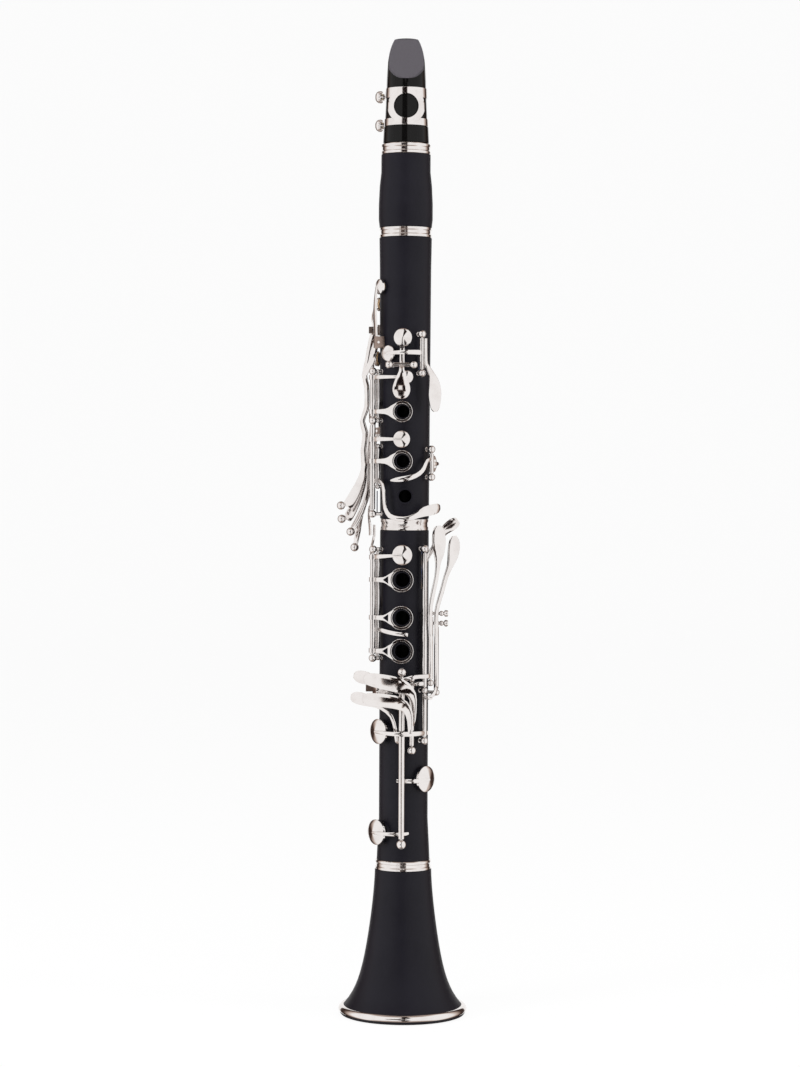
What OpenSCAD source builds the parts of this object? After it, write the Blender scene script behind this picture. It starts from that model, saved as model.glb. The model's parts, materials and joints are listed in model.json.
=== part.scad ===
/* [Body lengths] */
// Height of the bell below its socket ring
bell_h = 96.0; // [90:0.5:102]
// Height of the ring round the bell socket
bell_ring_h = 6.7; // [5:0.1:9]
// Length of the lower joint that shows, with the ring at its top
lower_h = 224.4; // [216:0.2:232]
// Length of the upper joint that shows
upper_h = 183.6; // [178:0.2:190]
// Length of the barrel
barrel_h = 61.4; // [56:0.2:67]
// Length of the mouthpiece above the barrel
mouth_h = 70.9; // [66:0.1:75]

/* [Body widths] */
// Diameter of the bore
bore_d = 14.8; // [14:0.1:15.4]
// Diameter of the lower joint along its straight stretch
lower_d = 32.1; // [31.5:0.1:32.6]
// Diameter of the lower joint at its foot
lower_foot_d = 34.8; // [34:0.1:36]
// Diameter of the upper joint at its foot
upper_foot_d = 32.1; // [31.6:0.1:32.4]
// Diameter of the upper joint at its head
upper_head_d = 34.4; // [33.8:0.1:34.8]
// Diameter of the bell at its rim
bell_d = 84.6; // [78:0.2:90]
// Thickness of the bell wall
bell_wall = 3.4; // [2.6:0.1:4.2]
// Largest diameter of the barrel
barrel_d = 35.4; // [34.6:0.1:37]
// Diameter of the mouthpiece above the barrel
mouth_d = 30.2; // [29.4:0.1:31]

/* [Joints of the body] */
// Diameter of the tenons
tenon_d = 21.6; // [20.8:0.1:22.2]
// Length of the tenons
tenon_h = 16; // [13:0.5:18]
// Thickness of the cork on the tenons
cork_t = 0.7; // [0.5:0.05:0.9]
// Gap between the cork and the socket it slides in
cork_gap = 0.05; // [0.03:0.01:0.09]

/* [Keys] */
// Diameter of the hinge tubes
tube_d = 3.2; // [3:0.1:3.3]
// Diameter of the hinge rods
rod_d = 1.8; // [1.5:0.1:1.9]
// Gap between a rod and the tube that turns on it
rod_gap = 0.05; // [0.02:0.01:0.09]
// Gap between the end of a tube and its post
end_gap = 0.3; // [0.2:0.05:0.5]
// Diameter of the balls on the posts
ball_d = 5.2; // [4.8:0.1:5.4]
// Diameter of a post's stem
stem_d = 2.2; // [1.8:0.1:2.4]
// Thickness of the pads
pad_t = 2.0; // [1.6:0.1:2.2]
// Gap between a closed pad and its seat
pad_gap = 0.3; // [0.25:0.01:0.35]
// How far a pad stands out of its cup
pad_proud = 0.8; // [0.6:0.1:1]
// Thickness of the key arms
arm_t = 1.5; // [1.3:0.1:1.6]
// Height of a ring key's ring
ring_t = 1.5; // [1.3:0.1:1.7]
// Width of a ring key's ring
ring_w = 1.8; // [1.6:0.1:2.0]

/* [Hidden] */
$fn = 48;

black = "#232327";
satin = "#2b2b30";
plate = "#d9d6d2";
cork = "#b58a5c";
cane = "#d8bb78";
skin = "#c9a46a";

// Heights of the faces where the sections meet
lower_z = bell_h + bell_ring_h;
upper_z = lower_z + lower_h;
barrel_z = upper_z + upper_h;
mouth_z = barrel_z + barrel_h;
top_z = mouth_z + mouth_h;

bore_r = bore_d / 2;
lower_r = lower_d / 2;
upper_r = (upper_foot_d + upper_head_d) / 4 - 0.15;
mouth_r = mouth_d / 2;
tenon_r = tenon_d / 2;
socket_r = tenon_r + cork_t + cork_gap;
tube_r = tube_d / 2;
rod_r = rod_d / 2;
stack_tube_r = tube_r + 0.2;
long_tube_r = tube_r + 0.4;
ball_r = ball_d / 2;
bore_clear = 0.02;
seat_h = 1.0;
lip_h = pad_gap + pad_proud;
ceiling_h = pad_gap + pad_t;
cup_slope = 0.32;
chimney_h = 2.4;
shank_r = 1.5;
shank_h = 3;

// Stations along a joint stretch with its length
function low(z) = lower_z + (z - 102.7) * lower_h / 224.4;
function upp(z) = upper_z + (z - 327.1) * upper_h / 183.6;

// ---------------------------------------------------------------- geometry

function mix(a, b, t) = a + (b - a) * t;
function unit(v) = v / norm(v);

// Point at azimuth a (0 in front, positive to the right), radius r, height z
function polar(a, r, z) = [r * sin(a), -r * cos(a), z];

// Points at a given x in front of the axis, at height e over the body
function ux(x, e, z) = [x, -sqrt(pow(upper_r + e, 2) - x * x), upp(z)];
function lx(x, e, z) = [x, -sqrt(pow(lower_r + e, 2) - x * x), low(z)];
function ua(a, e, z) = polar(a, upper_r + e, upp(z));
function la(a, e, z) = polar(a, lower_r + e, low(z));

// A row of a sweep: where it is, how wide and how thick it is there
function row(p, w, t = arm_t) = [p.x, p.y, p.z, w, t];

function spline(a, b, c, d, t) =
    0.5 * (2 * b + (c - a) * t + (2 * a - 5 * b + 4 * c - d) * t * t
        + (3 * b - a - 3 * c + d) * t * t * t);

function smooth(rows, steps) =
    let (last = len(rows) - 1)
    [
        for (i = [0 : last - 1], k = [0 : steps - 1])
            spline(rows[max(i - 1, 0)], rows[i], rows[i + 1], rows[min(i + 2, last)], k / steps),
        rows[last]
    ];

function place(v) = [v[0], v[1], v[2]];
function rounded(c) = sign(c) * pow(abs(c), 0.7);

// A bar swept along rows, its flat side turned outward or towards `face`
module sweep(rows, steps = 2, sides = 8, face = undef) {
    s = smooth(rows, steps);
    n = len(s);
    points = [
        for (i = [0 : n - 1])
            let (
                p = place(s[i]),
                t = unit(place(s[min(i + 1, n - 1)]) - place(s[max(i - 1, 0)])),
                o = is_undef(face) ? unit([p.x, p.y, 0]) : face,
                up = unit(o - (o * t) * t),
                side = cross(up, t)
            )
            for (k = [0 : sides - 1])
                let (q = (k + 0.5) * 360 / sides)
                p + side * rounded(cos(q)) * max(s[i][3], 0.3) / 2
                    + up * rounded(sin(q)) * max(s[i][4], 0.3) / 2
    ];
    walls = [
        for (i = [0 : n - 2], k = [0 : sides - 1])
            let (
                a = i * sides + k,
                b = i * sides + (k + 1) % sides,
                c = b + sides,
                d = a + sides
            )
            each [[a, d, c], [a, c, b]]
    ];
    foot = [for (k = [0 : sides - 1]) k];
    head = [for (k = [sides - 1 : -1 : 0]) (n - 1) * sides + k];
    polyhedron(points, concat([foot, head], walls), convexity = 4);
}

// Turns +Z to the outward direction at azimuth a, starting at radius r
module outward(a, r, z) {
    translate([0, 0, z]) rotate([0, 0, a - 90]) translate([r, 0, 0]) rotate([0, 90, 0]) children();
}

// Turns a key round its upright hinge
module swing(h, angle) {
    translate([h.x, h.y, 0]) rotate([0, 0, angle]) translate([-h.x, -h.y, 0]) children();
}

// ---------------------------------------------------------------- body

module revolved(profile) {
    rotate_extrude($fn = 96) polygon(profile);
}

// Outer radii of the two joints
function lower_body_r(z) = z > low(130) ? lower_r
    : z < low(111) ? mix(lower_foot_d / 2, lower_foot_d / 2 - 0.35, (z - lower_z) / (low(111) - lower_z))
    : mix(lower_foot_d / 2 - 0.35, lower_r, (z - low(111)) / (low(130) - low(111)));

// Every tone hole: azimuth, height, radius of what closes it
cup_scale = 0.56;
function holed(c) = [c[0], c[1], c[2] * cup_scale];

register_cup = [180, upp(462), 4.8];
vent_cup = [5, upp(419.3), 4.2];
a_cup = [-4.5, upp(445), 5.9];
gsharp_cup = [-34, upp(434.8), 5.1];
second_cup = [-4, upp(378.9), 5.5];
trill_one_cup = [-60, upp(478.4), 5.0];
trill_two_cup = [-120, upp(468), 4.6];
bflat_cup = [-108, upp(432), 5.0];
fsharp_cup = [-127, upp(414), 5.0];
csharp_cup = [-98, upp(370), 5.6];
sliver_cup = [102, upp(363), 5.4];
upper_cups = [
    register_cup, vent_cup, a_cup, gsharp_cup, second_cup, trill_one_cup, trill_two_cup,
    bflat_cup, fsharp_cup, csharp_cup, sliver_cup
];

stack_cup = [-2, low(303.5), 6.5];
fork_cup = [-98, low(270), 5.8];
low_fsharp_cup = [-52, low(214.5), 6.6];
low_f_cup = [-57, low(187.8), 8.2];
low_aflat_cup = [50, low(156.6), 8.5];
low_e_cup = [-57, low(121.6), 8.3];
lower_cups = [stack_cup, fork_cup, low_fsharp_cup, low_f_cup, low_aflat_cup, low_e_cup];

// Sideways place of the front rings and of their holes
ring_side = -1.3;

// Ring keys: azimuth and height of the hole, outer radius of the ring
ring_one = [0, upp(396.9), 6.9];
ring_two = [0, upp(364.6), 7.1];
thumb_ring = [180, upp(408), 8.1];
ring_three = [0, low(287.2), 7.9];
ring_four = [0, low(262.4), 7.8];
ring_five = [0, low(240.7), 8.1];
open_hole = [1, upp(341.8), 4.2];
chimney_r = 4.6;
thumb_chimney_r = 4.6;
finger_hole_r = 4.1;

function cup_seat_r(c, lower) = (lower ? max(lower_r, lower_body_r(c[1])) : upper_r) + seat_h;

module bosses(cups, lower) {
    for (c = cups)
        outward(c[0], bore_r + 3, c[1])
            cylinder(r = c[2] - 0.9, h = cup_seat_r(c, lower) - bore_r - 3);
}

module holes(list, r_out, side = 0) {
    for (c = list)
        outward(c[0], bore_r - 2, c[1]) translate([0, side, 0]) cylinder(r = c[2], h = r_out);
}

module chimneys(rings, body_r, r) {
    for (c = rings)
        outward(c[0], bore_r + 3, c[1]) translate([0, c[0] == 0 ? ring_side : 0, 0])
            cylinder(r = r, h = body_r + chimney_h - bore_r - 3);
}

module post_holes(posts, body_r) {
    for (p = posts)
        outward(p[0], body_r - shank_h, p[2]) cylinder(r = shank_r + bore_clear, h = shank_h + 4, $fn = 24);
}

module upper_joint() {
    holes_r = upper_r + 4;
    color(satin)
    difference() {
        union() {
            difference() {
                revolved([
                    [bore_r, upper_z - tenon_h], [tenon_r, upper_z - tenon_h],
                    [tenon_r, upper_z], [upper_foot_d / 2, upper_z],
                    [upper_head_d / 2 - 0.35, barrel_z - 20], [upper_head_d / 2, barrel_z],
                    [tenon_r, barrel_z], [tenon_r, barrel_z + tenon_h], [bore_r, barrel_z + tenon_h]
                ]);
                post_holes(concat(upper_post_list, cross_post_list), upper_r);
            }
            bosses(upper_cups, false);
            chimneys([ring_one, ring_two], upper_r, chimney_r);
            chimneys([thumb_ring], upper_r, thumb_chimney_r);
            outward(open_hole[0], bore_r + 3, open_hole[1])
                cylinder(r = open_hole[2] + 1.1, h = upper_r + 0.7 - bore_r - 3);
        }
        holes([for (c = upper_cups) if (c != register_cup) holed(c)], holes_r);
        holes([for (c = [ring_one, ring_two]) [0, c[1], finger_hole_r]], holes_r, ring_side);
        outward(register_cup[0], bore_r - 4, register_cup[1]) cylinder(r = 2.4, h = holes_r);
        outward(thumb_ring[0], bore_r - 4, thumb_ring[1]) cylinder(r = 4.0, h = holes_r);
        holes([open_hole], holes_r);
        translate([0, 0, upper_z - tenon_h - 1]) cylinder(r = bore_r, h = upper_h + 2 * tenon_h + 2);
    }
}

module lower_joint() {
    holes_r = lower_r + 4;
    ring_z = upper_z - middle_ring_h;
    color(satin)
    difference() {
        union() {
            difference() {
                revolved([
                    [bore_r, lower_z - tenon_h], [tenon_r + 2, lower_z - tenon_h],
                    [tenon_r + 2, lower_z], [lower_foot_d / 2, lower_z],
                    [lower_foot_d / 2 - 0.35, low(111)], [lower_r, low(130)],
                    [lower_r, ring_z], [middle_ring_in, ring_z],
                    [middle_ring_in, upper_z - 0.1], [bore_r, upper_z - 0.1]
                ]);
                post_holes(lower_post_list, lower_r);
                post_holes(rest_screw_list, lower_r);
            }
            bosses(lower_cups, true);
            chimneys([ring_three, ring_four, ring_five], lower_r, chimney_r + 0.6);
        }
        holes([for (c = lower_cups) holed(c)], holes_r);
        holes(
            [for (c = [ring_three, ring_four, ring_five]) [0, c[1], finger_hole_r + 0.6]],
            holes_r, ring_side
        );
        translate([0, 0, lower_z - tenon_h - 1]) cylinder(r = bore_r, h = lower_h + tenon_h + 2);
        translate([0, 0, upper_z - tenon_h - 0.2]) cylinder(r = socket_r, h = tenon_h + 1);
    }
}

middle_ring_h = 8;
middle_ring_in = lower_r - 1.5;

// A plated ring with two shallow grooves, from height z, h high
module band(z, h, r_in, r_out) {
    g = 0.45;
    revolved([
        [r_in, z], [r_out - g, z], [r_out, z + g], [r_out, z + h * 0.28],
        [r_out - g, z + h * 0.36], [r_out - g, z + h * 0.64], [r_out, z + h * 0.72],
        [r_out, z + h - g], [r_out - g, z + h], [r_in, z + h]
    ]);
}

module middle_ring() {
    color(plate) band(upper_z - middle_ring_h, middle_ring_h - 0.1, middle_ring_in, lower_r + 0.05);
}

barrel_top_ring_h = 6.9;
barrel_foot_ring_h = 7.0;
barrel_ring_in = 14.9;

module barrel() {
    zb = barrel_z + 0.1;
    top_r = barrel_d / 2 - 1.55;
    color(satin)
    difference() {
        revolved([
            [bore_r, zb], [barrel_ring_in, zb], [barrel_ring_in, zb + barrel_foot_ring_h],
            [barrel_d / 2 - 0.6, zb + barrel_foot_ring_h], [barrel_d / 2, zb + 12],
            [barrel_d / 2, zb + 22], [barrel_d / 2 - 0.55, zb + 34], [top_r, zb + 43],
            [top_r, mouth_z - barrel_top_ring_h], [barrel_ring_in, mouth_z - barrel_top_ring_h],
            [barrel_ring_in, mouth_z], [bore_r, mouth_z]
        ]);
        translate([0, 0, barrel_z - 1]) cylinder(r = socket_r, h = tenon_h + 1.5);
        translate([0, 0, mouth_z - tenon_h - 0.3]) cylinder(r = tenon_r + cork_t, h = tenon_h + 1);
        translate([0, 0, barrel_z - 1]) cylinder(r = bore_r, h = barrel_h + 2);
    }
}

module barrel_rings() {
    color(plate) {
        band(barrel_z + 0.1, barrel_foot_ring_h, barrel_ring_in, barrel_d / 2 - 0.6);
        band(mouth_z - barrel_top_ring_h, barrel_top_ring_h, barrel_ring_in, barrel_d / 2 - 1.45);
    }
}

module cork_ring(z, h, r_in) {
    revolved([[r_in, z], [r_in + cork_t, z], [r_in + cork_t, z + h], [r_in, z + h]]);
}

cork_margin = 2.2;

module tenon_corks() {
    h = tenon_h - 2 * cork_margin;
    color(cork) {
        cork_ring(barrel_z + cork_margin, h, tenon_r);
        cork_ring(upper_z - tenon_h + cork_margin, h, tenon_r);
        cork_ring(lower_z - tenon_h + cork_margin, h, tenon_r + 2);
    }
}

// Half width of the bell: a slow cone that runs out into a flare
function bell_r(z) =
    let (top = 18.6, rim = bell_d / 2, s = 1 - z / bell_h)
    top + (rim - 2.4 - top) * (0.67 * pow(s, 1.5) + 0.6 * pow(s, 8));

bell_ring_in = bell_r(bell_h) - 1.8;
bell_rim_h = 6.4;
// Height of the black lip under the rim's ring, and depth of the ring's seat
bell_lip_h = 2.2;
bell_ring_t = 3.4;
bell_socket_h = tenon_h + 1;
bell_steps = 22;

module bell() {
    wall = bell_wall;
    rim = bell_d / 2;
    outer = [for (i = [0 : bell_steps]) let (z = mix(bell_h, bell_rim_h, i / bell_steps)) [bell_r(z), z]];
    inner = [
        for (i = [0 : bell_steps])
            let (z = mix(2.0, bell_h - 14, i / bell_steps))
            [min(max(bell_r(z) - wall - 3.6 * z / bell_h, bore_r), rim - bell_ring_t - 1.6), z]
    ];
    color(satin)
    difference() {
        revolved(concat(
            [[bell_ring_in, lower_z - 0.1], [bell_ring_in, bell_h]],
            outer,
            [
                [rim - bell_ring_t, bell_rim_h], [rim - bell_ring_t, bell_lip_h],
                [rim - 1.0, bell_lip_h], [rim - 1.1, 1.3], [rim - 1.8, 0.4], [rim - 2.8, 0],
                [rim - 4.2, 0], [rim - 4.8, 0.6]
            ],
            inner,
            [[bore_r, bell_h - 14], [bore_r, lower_z - 0.1]]
        ));
        translate([0, 0, lower_z - bell_socket_h])
            cylinder(r = tenon_r + 2 + cork_t, h = bell_socket_h + 1);
        translate([0, 0, bell_h - 16]) cylinder(r = bore_r + 1, h = 20);
    }
}

module bell_rings() {
    rim = bell_d / 2;
    color(plate) {
        band(bell_h, bell_ring_h - 0.1, bell_ring_in, bell_r(bell_h) - 0.25);
        revolved([
            [rim - bell_ring_t, bell_lip_h], [rim - 0.9, bell_lip_h], [rim - 0.2, 2.9], [rim, 3.8],
            [rim - 0.2, 4.8], [rim - 0.9, 5.8], [rim - 1.7, bell_rim_h], [rim - bell_ring_t, bell_rim_h]
        ]);
    }
}

// ---------------------------------------------------------------- mouthpiece

table_y = 10.9;
// Foot of the beak's slope, and height where its cheeks begin to draw in
beak_z = mouth_z + 41.7;
cheek_z = mouth_z + 44;
tip_t = 1.4;
reed_tip = 0.8;
reed_foot = 4.1;
reed_h = mouth_h - reed_foot - reed_tip;
reed_w = 13;
reed_t = 3.0;

lig_z = mouth_z + 11.6;
lig_h = 24.6;
lig_t = 0.6;
lig_gap = 0.05;
lig_foot_h = 4.6;
lig_head_h = 6.4;
lig_screw_z = [lig_z + 3.0, lig_z + lig_h - 2.8];
lig_screw_y = mouth_r + 4.2;
lig_screw_r = 1.2;
// Radii of the mouthpiece at the foot and the head of the ligature
lig_foot_r = mouth_r - 1.1;
lig_head_r = mouth_r - 2.2;

// Half width of the mouthpiece seen from the front, from its shoulder to its tip
function beak_w(s) = mix(12.9, 8.0, 0.35 * s + 0.65 * pow(s, 4));

module mouthpiece() {
    zc = mouth_z + 0.1;
    sz = top_z - cheek_z;
    side = [for (i = [0 : 10]) [beak_w(i / 10), cheek_z - 4 + (sz + 2.6) * i / 10]];
    tip = [for (q = [15 : 15 : 90]) [8.0 * cos(q), top_z - 1.4 + 1.4 * sin(q)]];
    half = concat([[17, zc - 20], [17, cheek_z - 4.01]], side, tip);
    mirrored = [for (i = [len(half) - 1 : -1 : 0]) [-half[i].x, half[i].y]];
    color(black)
    difference() {
        intersection() {
            union() {
                revolved([
                    [0, zc - tenon_h], [tenon_r, zc - tenon_h], [tenon_r, zc],
                    [mouth_r - 0.6, zc], [mouth_r, zc + 0.8], [lig_foot_r + lig_t, lig_z - 0.5],
                    [lig_foot_r, lig_z - 0.3], [lig_head_r, lig_z + lig_h], [lig_head_r, top_z + 1],
                    [0, top_z + 1]
                ]);
            }
            translate([0, 30, 0]) rotate([90, 0, 0]) linear_extrude(60) polygon(concat(half, mirrored));
        }
        // flat table that carries the reed
        translate([-20, table_y, zc + 3]) cube([40, 20, mouth_h + 5]);
        // sloping beak
        translate([-20, 0, 0]) rotate([90, 0, 90]) linear_extrude(40)
            polygon([
                [-mouth_r - 4, beak_z - 6], [-mouth_r + 1.9, beak_z],
                [table_y - tip_t, top_z + 0.01], [table_y - tip_t, top_z + 8], [-mouth_r - 4, top_z + 8]
            ]);
        translate([0, 0, zc - tenon_h - 1]) cylinder(r = bore_r, h = tenon_h + 26);
        // window under the reed, opening into the throat
        translate([-5.2, -2.5, zc + 20]) cube([10.4, 9, 12]);
        translate([0, 0, 0]) rotate([90, 0, 90]) translate([0, 0, -5.2]) linear_extrude(10.4)
            polygon([[-2.5, zc + 30], [table_y + 1, zc + 30], [table_y + 1, zc + 66], [table_y - 1.2,
                zc + 66]]);
    }
    color(cork) cork_ring(mouth_z - tenon_h + cork_margin, tenon_h - 2 * cork_margin, tenon_r);
}

module reed() {
    z0 = top_z - reed_h - reed_tip;
    color(cane)
    intersection() {
        revolved([
            [0, z0], [lig_foot_r - 0.05, z0], [lig_foot_r - 0.05, lig_z], [lig_head_r - 0.05,
                lig_z + lig_h],
            [lig_head_r - 0.05, z0 + reed_h], [0, z0 + reed_h]
        ]);
        translate([-reed_w / 2, table_y, z0]) cube([reed_w, reed_t, reed_h]);
        translate([-20, 0, 0]) rotate([90, 0, 90]) linear_extrude(40)
            polygon([
                [table_y, z0], [table_y + reed_t, z0], [table_y + reed_t, z0 + reed_h * 0.52],
                [table_y + 0.9, z0 + reed_h * 0.78], [table_y + 0.25, z0 + reed_h], [table_y, z0 + reed_h]
            ]);
    }
}

// Radius of the mouthpiece under the ligature, d above the ligature's foot
function lig_r(d) = mix(lig_foot_r, lig_head_r, d / lig_h) + lig_gap;

module ligature_band(d, h, t = lig_t) {
    a = lig_r(d) + t;
    b = lig_r(d + h) + t;
    inner = lig_head_r - 1;
    revolved([[inner, lig_z + d], [a, lig_z + d], [b, lig_z + d + h], [inner, lig_z + d + h]]);
}

module ligature() {
    mid = lig_h / 2;
    color(plate)
    difference() {
        union() {
            ligature_band(0, lig_foot_h);
            ligature_band(lig_h - lig_head_h, lig_head_h);
            // ring plate in front, joining the two bands
            intersection() {
                ligature_band(0, lig_h, lig_t + 0.4);
                outward(0, 6, lig_z + mid) cylinder(r = 12.2, h = 14);
            }
            // lugs that the screws pass through
            for (z = lig_screw_z, x = [-4.6, 2.4])
                translate([x, lig_head_r - 1.5, z - 2.2]) cube([2.2, 8.6, 4.4]);
        }
        outward(0, 6, lig_z + mid) cylinder(r = 8.1, h = 20);
        translate([0, 0, lig_z - 1])
            cylinder(r1 = lig_r(-1), r2 = lig_r(lig_h + 1), h = lig_h + 2, $fn = 96);
        // split at the back between the lugs
        translate([-2.4, lig_head_r - 3, lig_z - 1]) cube([4.8, 12, lig_h + 2]);
        for (z = lig_screw_z)
            translate([-10, lig_screw_y, z]) rotate([0, 90, 0])
                cylinder(r = lig_screw_r + 0.05, h = 20, $fn = 24);
    }
}

// Thumb screw: shank along X, notched round head to the left
module ligature_screw(z) {
    color(plate)
    translate([0, lig_screw_y, z]) rotate([0, -90, 0]) {
        translate([0, 0, -7.5]) cylinder(r = lig_screw_r, h = 22, $fn = 24);
        translate([0, 0, 5.0]) cylinder(r = 2.4, h = 2.2, $fn = 24);
        difference() {
            rotate_extrude($fn = 48)
                polygon([
                    [0, 14.4], [2.2, 14.4], [2.2, 15.2], [3.6, 15.5], [4.1, 16.4], [4.1, 17.2],
                    [3.9, 18.4], [3.2, 19.5], [1.9, 20.3], [0, 20.6]
                ]);
            for (q = [0 : 24 : 336])
                rotate([0, 0, q]) translate([4.25, 0, 14]) cylinder(r = 0.4, h = 8, $fn = 6);
        }
    }
}

module ligature_screw_upper() { ligature_screw(lig_screw_z[1]); }
module ligature_screw_lower() { ligature_screw(lig_screw_z[0]); }

// ---------------------------------------------------------------- hinges

function hinge_u(x, e) = let (p = ux(x, e, 0)) [p.x, p.y];
function hinge_l(x, e) = let (p = lx(x, e, 0)) [p.x, p.y];

// A second hinge below another one, on the same posts
function under_hinge(h, r) = h * r / norm(h);

stack_u = hinge_u(-21.0, 6.8);
inner_u = under_hinge(stack_u, upper_r + 3.1);
gsharp_h = hinge_u(10.9, 5.0);
sliver_h = hinge_u(17.4, 4.1);
stack_l = hinge_l(-20.5, 6.8);
inner_l = under_hinge(stack_l, lower_r + 3.1);
lever_a = hinge_l(13.4, 4.8);
lever_b = hinge_l(17.4, 6.6);
lever_c = hinge_l(21.2, 8.0);
low_e_h = hinge_l(-1.3, 6.6);
low_fsharp_h = hinge_l(5.2, 3.95);
low_aflat_h = hinge_l(-0.9, 2.35);

a_pivot_e = 4.4;
a_pivot_z = upp(427.2);
register_pivot_z = upp(447);
register_pivot_e = 4.4;

// Azimuth and radius of a hinge
function azimuth(h) = atan2(h.x, -h.y);

// Posts on each joint: azimuth, radius of the ball's centre, height, ball radius
function post(h, z, r = ball_r) = [azimuth(h), norm(h), z, r];
a_post_left = [-10.4, -(upper_r + a_pivot_e)];
a_post_right = [5.5, -(upper_r + a_pivot_e)];
register_post_x = 6.6;

small_ball_r = 1.6;

// A post that carries two hinges, one over the other
function double_post(h, z) = concat(post(h, z), [small_ball_r]);

upper_post_list = [
    double_post(stack_u, upp(423.2)), double_post(stack_u, upp(391.1)), post(stack_u, upp(330.1)),
    post(inner_u, upp(374.4), small_ball_r), post(inner_u, upp(347.9), small_ball_r),
    post(gsharp_h, upp(447.3)), post(gsharp_h, upp(421.9)),
    post(sliver_h, upp(372.4)), post(sliver_h, upp(354.3))
];
cross_post_list = [
    post(a_post_left, a_pivot_z), post(a_post_right, a_pivot_z),
    post([register_post_x, upper_r + register_pivot_e], register_pivot_z),
    post([-register_post_x, upper_r + register_pivot_e], register_pivot_z)
];
side_post_r = 1.95;
foot_post_r = 3.3;
lower_post_list = [
    double_post(stack_l, low(306.9)), double_post(stack_l, low(235.6)),
    post(lever_a, low(307.4)), post(lever_a, low(214.9), 2.2), post(lever_a, low(182)),
    post(lever_b, low(265.3), side_post_r), post(lever_b, low(219.8), 2.2),
    post(lever_c, low(258.7), side_post_r), post(lever_c, low(213.4), 2.2),
    post(low_e_h, low(227.1), 2.9), post(low_e_h, low(114.9), foot_post_r),
    post(low_fsharp_h, low(222.4), 2.0), post(low_fsharp_h, low(176), 2.9),
    post(low_aflat_h, low(186.8), 1.95), post(low_aflat_h, low(150.2), 1.95)
];

// Radius of the lower hinge on a double post
function inner_r(body_r) = body_r + 3.1;

// A ball post: shank in the body, collar, stem and ball
module ball_post(p, body_r) {
    outward(p[0], body_r - shank_h, p[2]) cylinder(r = shank_r, h = shank_h + 0.4, $fn = 24);
    outward(p[0], body_r, p[2]) cylinder(d = stem_d, h = p[1] - body_r, $fn = 24);
    outward(p[0], p[1], p[2]) sphere(r = p[3], $fn = 32);
    if (len(p) > 4) outward(p[0], inner_r(body_r), p[2]) sphere(r = p[4], $fn = 32);
}

// Bore of a post for an upright rod
module upright_bore(azimuth, r, z) {
    q = polar(azimuth, r, z);
    translate([q.x, q.y, z - 4]) cylinder(r = rod_r + bore_clear, h = 8, $fn = 32);
}

// Bore of a post for a rod that lies across the body
module cross_bore(azimuth, r, z) {
    q = polar(azimuth, r, z);
    translate([q.x - 4, q.y, z]) rotate([0, 90, 0]) cylinder(r = rod_r + bore_clear, h = 8, $fn = 32);
}

module upright_posts(list, body_r) {
    for (p = list)
        difference() {
            ball_post(p, body_r);
            upright_bore(p[0], p[1], p[2]);
            if (len(p) > 4) upright_bore(p[0], inner_r(body_r), p[2]);
        }
}

module upper_posts() {
    color(plate) {
        upright_posts(upper_post_list, upper_r);
        for (p = cross_post_list)
            difference() {
                ball_post(p, upper_r);
                cross_bore(p[0], p[1], p[2]);
            }
    }
}

// Lock screw of a side post, its round head out to the right
module lock_screw(h, z) {
    translate([h.x, h.y, z]) rotate([0, 90, 0]) {
        translate([0, 0, rod_r + 0.5]) cylinder(r = 0.9, h = 26.4 - h.x - rod_r - 0.5, $fn = 24);
        translate([0, 0, 24.4 - h.x])
            rotate_extrude($fn = 40)
            polygon([
                [0, -1.4], [1.0, -1.3], [1.5, -0.8], [1.7, 0], [1.5, 0.8], [1.1, 1.3], [1.1, 1.7],
                [1.8, 1.9], [2.2, 2.5], [2.2, 3.7], [1.7, 4.3], [0, 4.5]
            ]);
    }
}

module lower_posts() {
    color(plate) {
        upright_posts(lower_post_list, lower_r);
        lock_screw(lever_b, low(265.3));
        lock_screw(lever_c, low(258.7));
    }
}

// A rod between two heights, its ends flush inside the posts
module upright_rod(h, z0, z1) {
    translate([h.x, h.y, z0]) cylinder(r = rod_r, h = z1 - z0, $fn = 32);
}

module upper_rods() {
    color(plate) {
        upright_rod(stack_u, upp(328.2), upp(425.1));
        upright_rod(inner_u, upp(389.8), upp(424.5));
        upright_rod(inner_u, upp(346.4), upp(375.9));
        upright_rod(gsharp_h, upp(420), upp(449.2));
        upright_rod(sliver_h, upp(352.4), upp(374.3));
        translate([-12.2, -(upper_r + a_pivot_e), a_pivot_z])
            rotate([0, 90, 0]) cylinder(r = rod_r, h = 19.6, $fn = 32);
        translate([-8.4, upper_r + register_pivot_e, register_pivot_z])
            rotate([0, 90, 0]) cylinder(r = rod_r, h = 16.8, $fn = 32);
        for (s = saddles) saddle_frame(s) rotate([90, 0, 0])
            cylinder(r = rod_r, h = 7.2, center = true, $fn = 32);
    }
}

module lower_rods() {
    color(plate) {
        upright_rod(stack_l, low(233.7), low(308.8));
        upright_rod(inner_l, low(234.2), low(308.2));
        upright_rod(lever_a, low(180.2), low(309.3));
        upright_rod(lever_b, low(218.0), low(266.9));
        upright_rod(lever_c, low(211.6), low(260.3));
        upright_rod(low_e_h, low(112.6), low(228.9));
        upright_rod(low_fsharp_h, low(174.2), low(224));
        upright_rod(low_aflat_h, low(148.8), low(188.2));
    }
}

// Takes the rod's bore out of a key that turns on an upright hinge
module hinged(h, z0, z1, r = tube_r) {
    difference() {
        union() {
            translate([h.x, h.y, z0]) cylinder(r = r, h = z1 - z0, $fn = 40);
            children();
        }
        translate([h.x, h.y, z0 - 30]) cylinder(r = rod_r + rod_gap, h = z1 - z0 + 60, $fn = 40);
    }
}

// ---------------------------------------------------------------- cups, pads and rings

// Height of a cup's peak over its seat
function cup_top(c) = ceiling_h + 0.6 + cup_slope * c[2];

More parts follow.
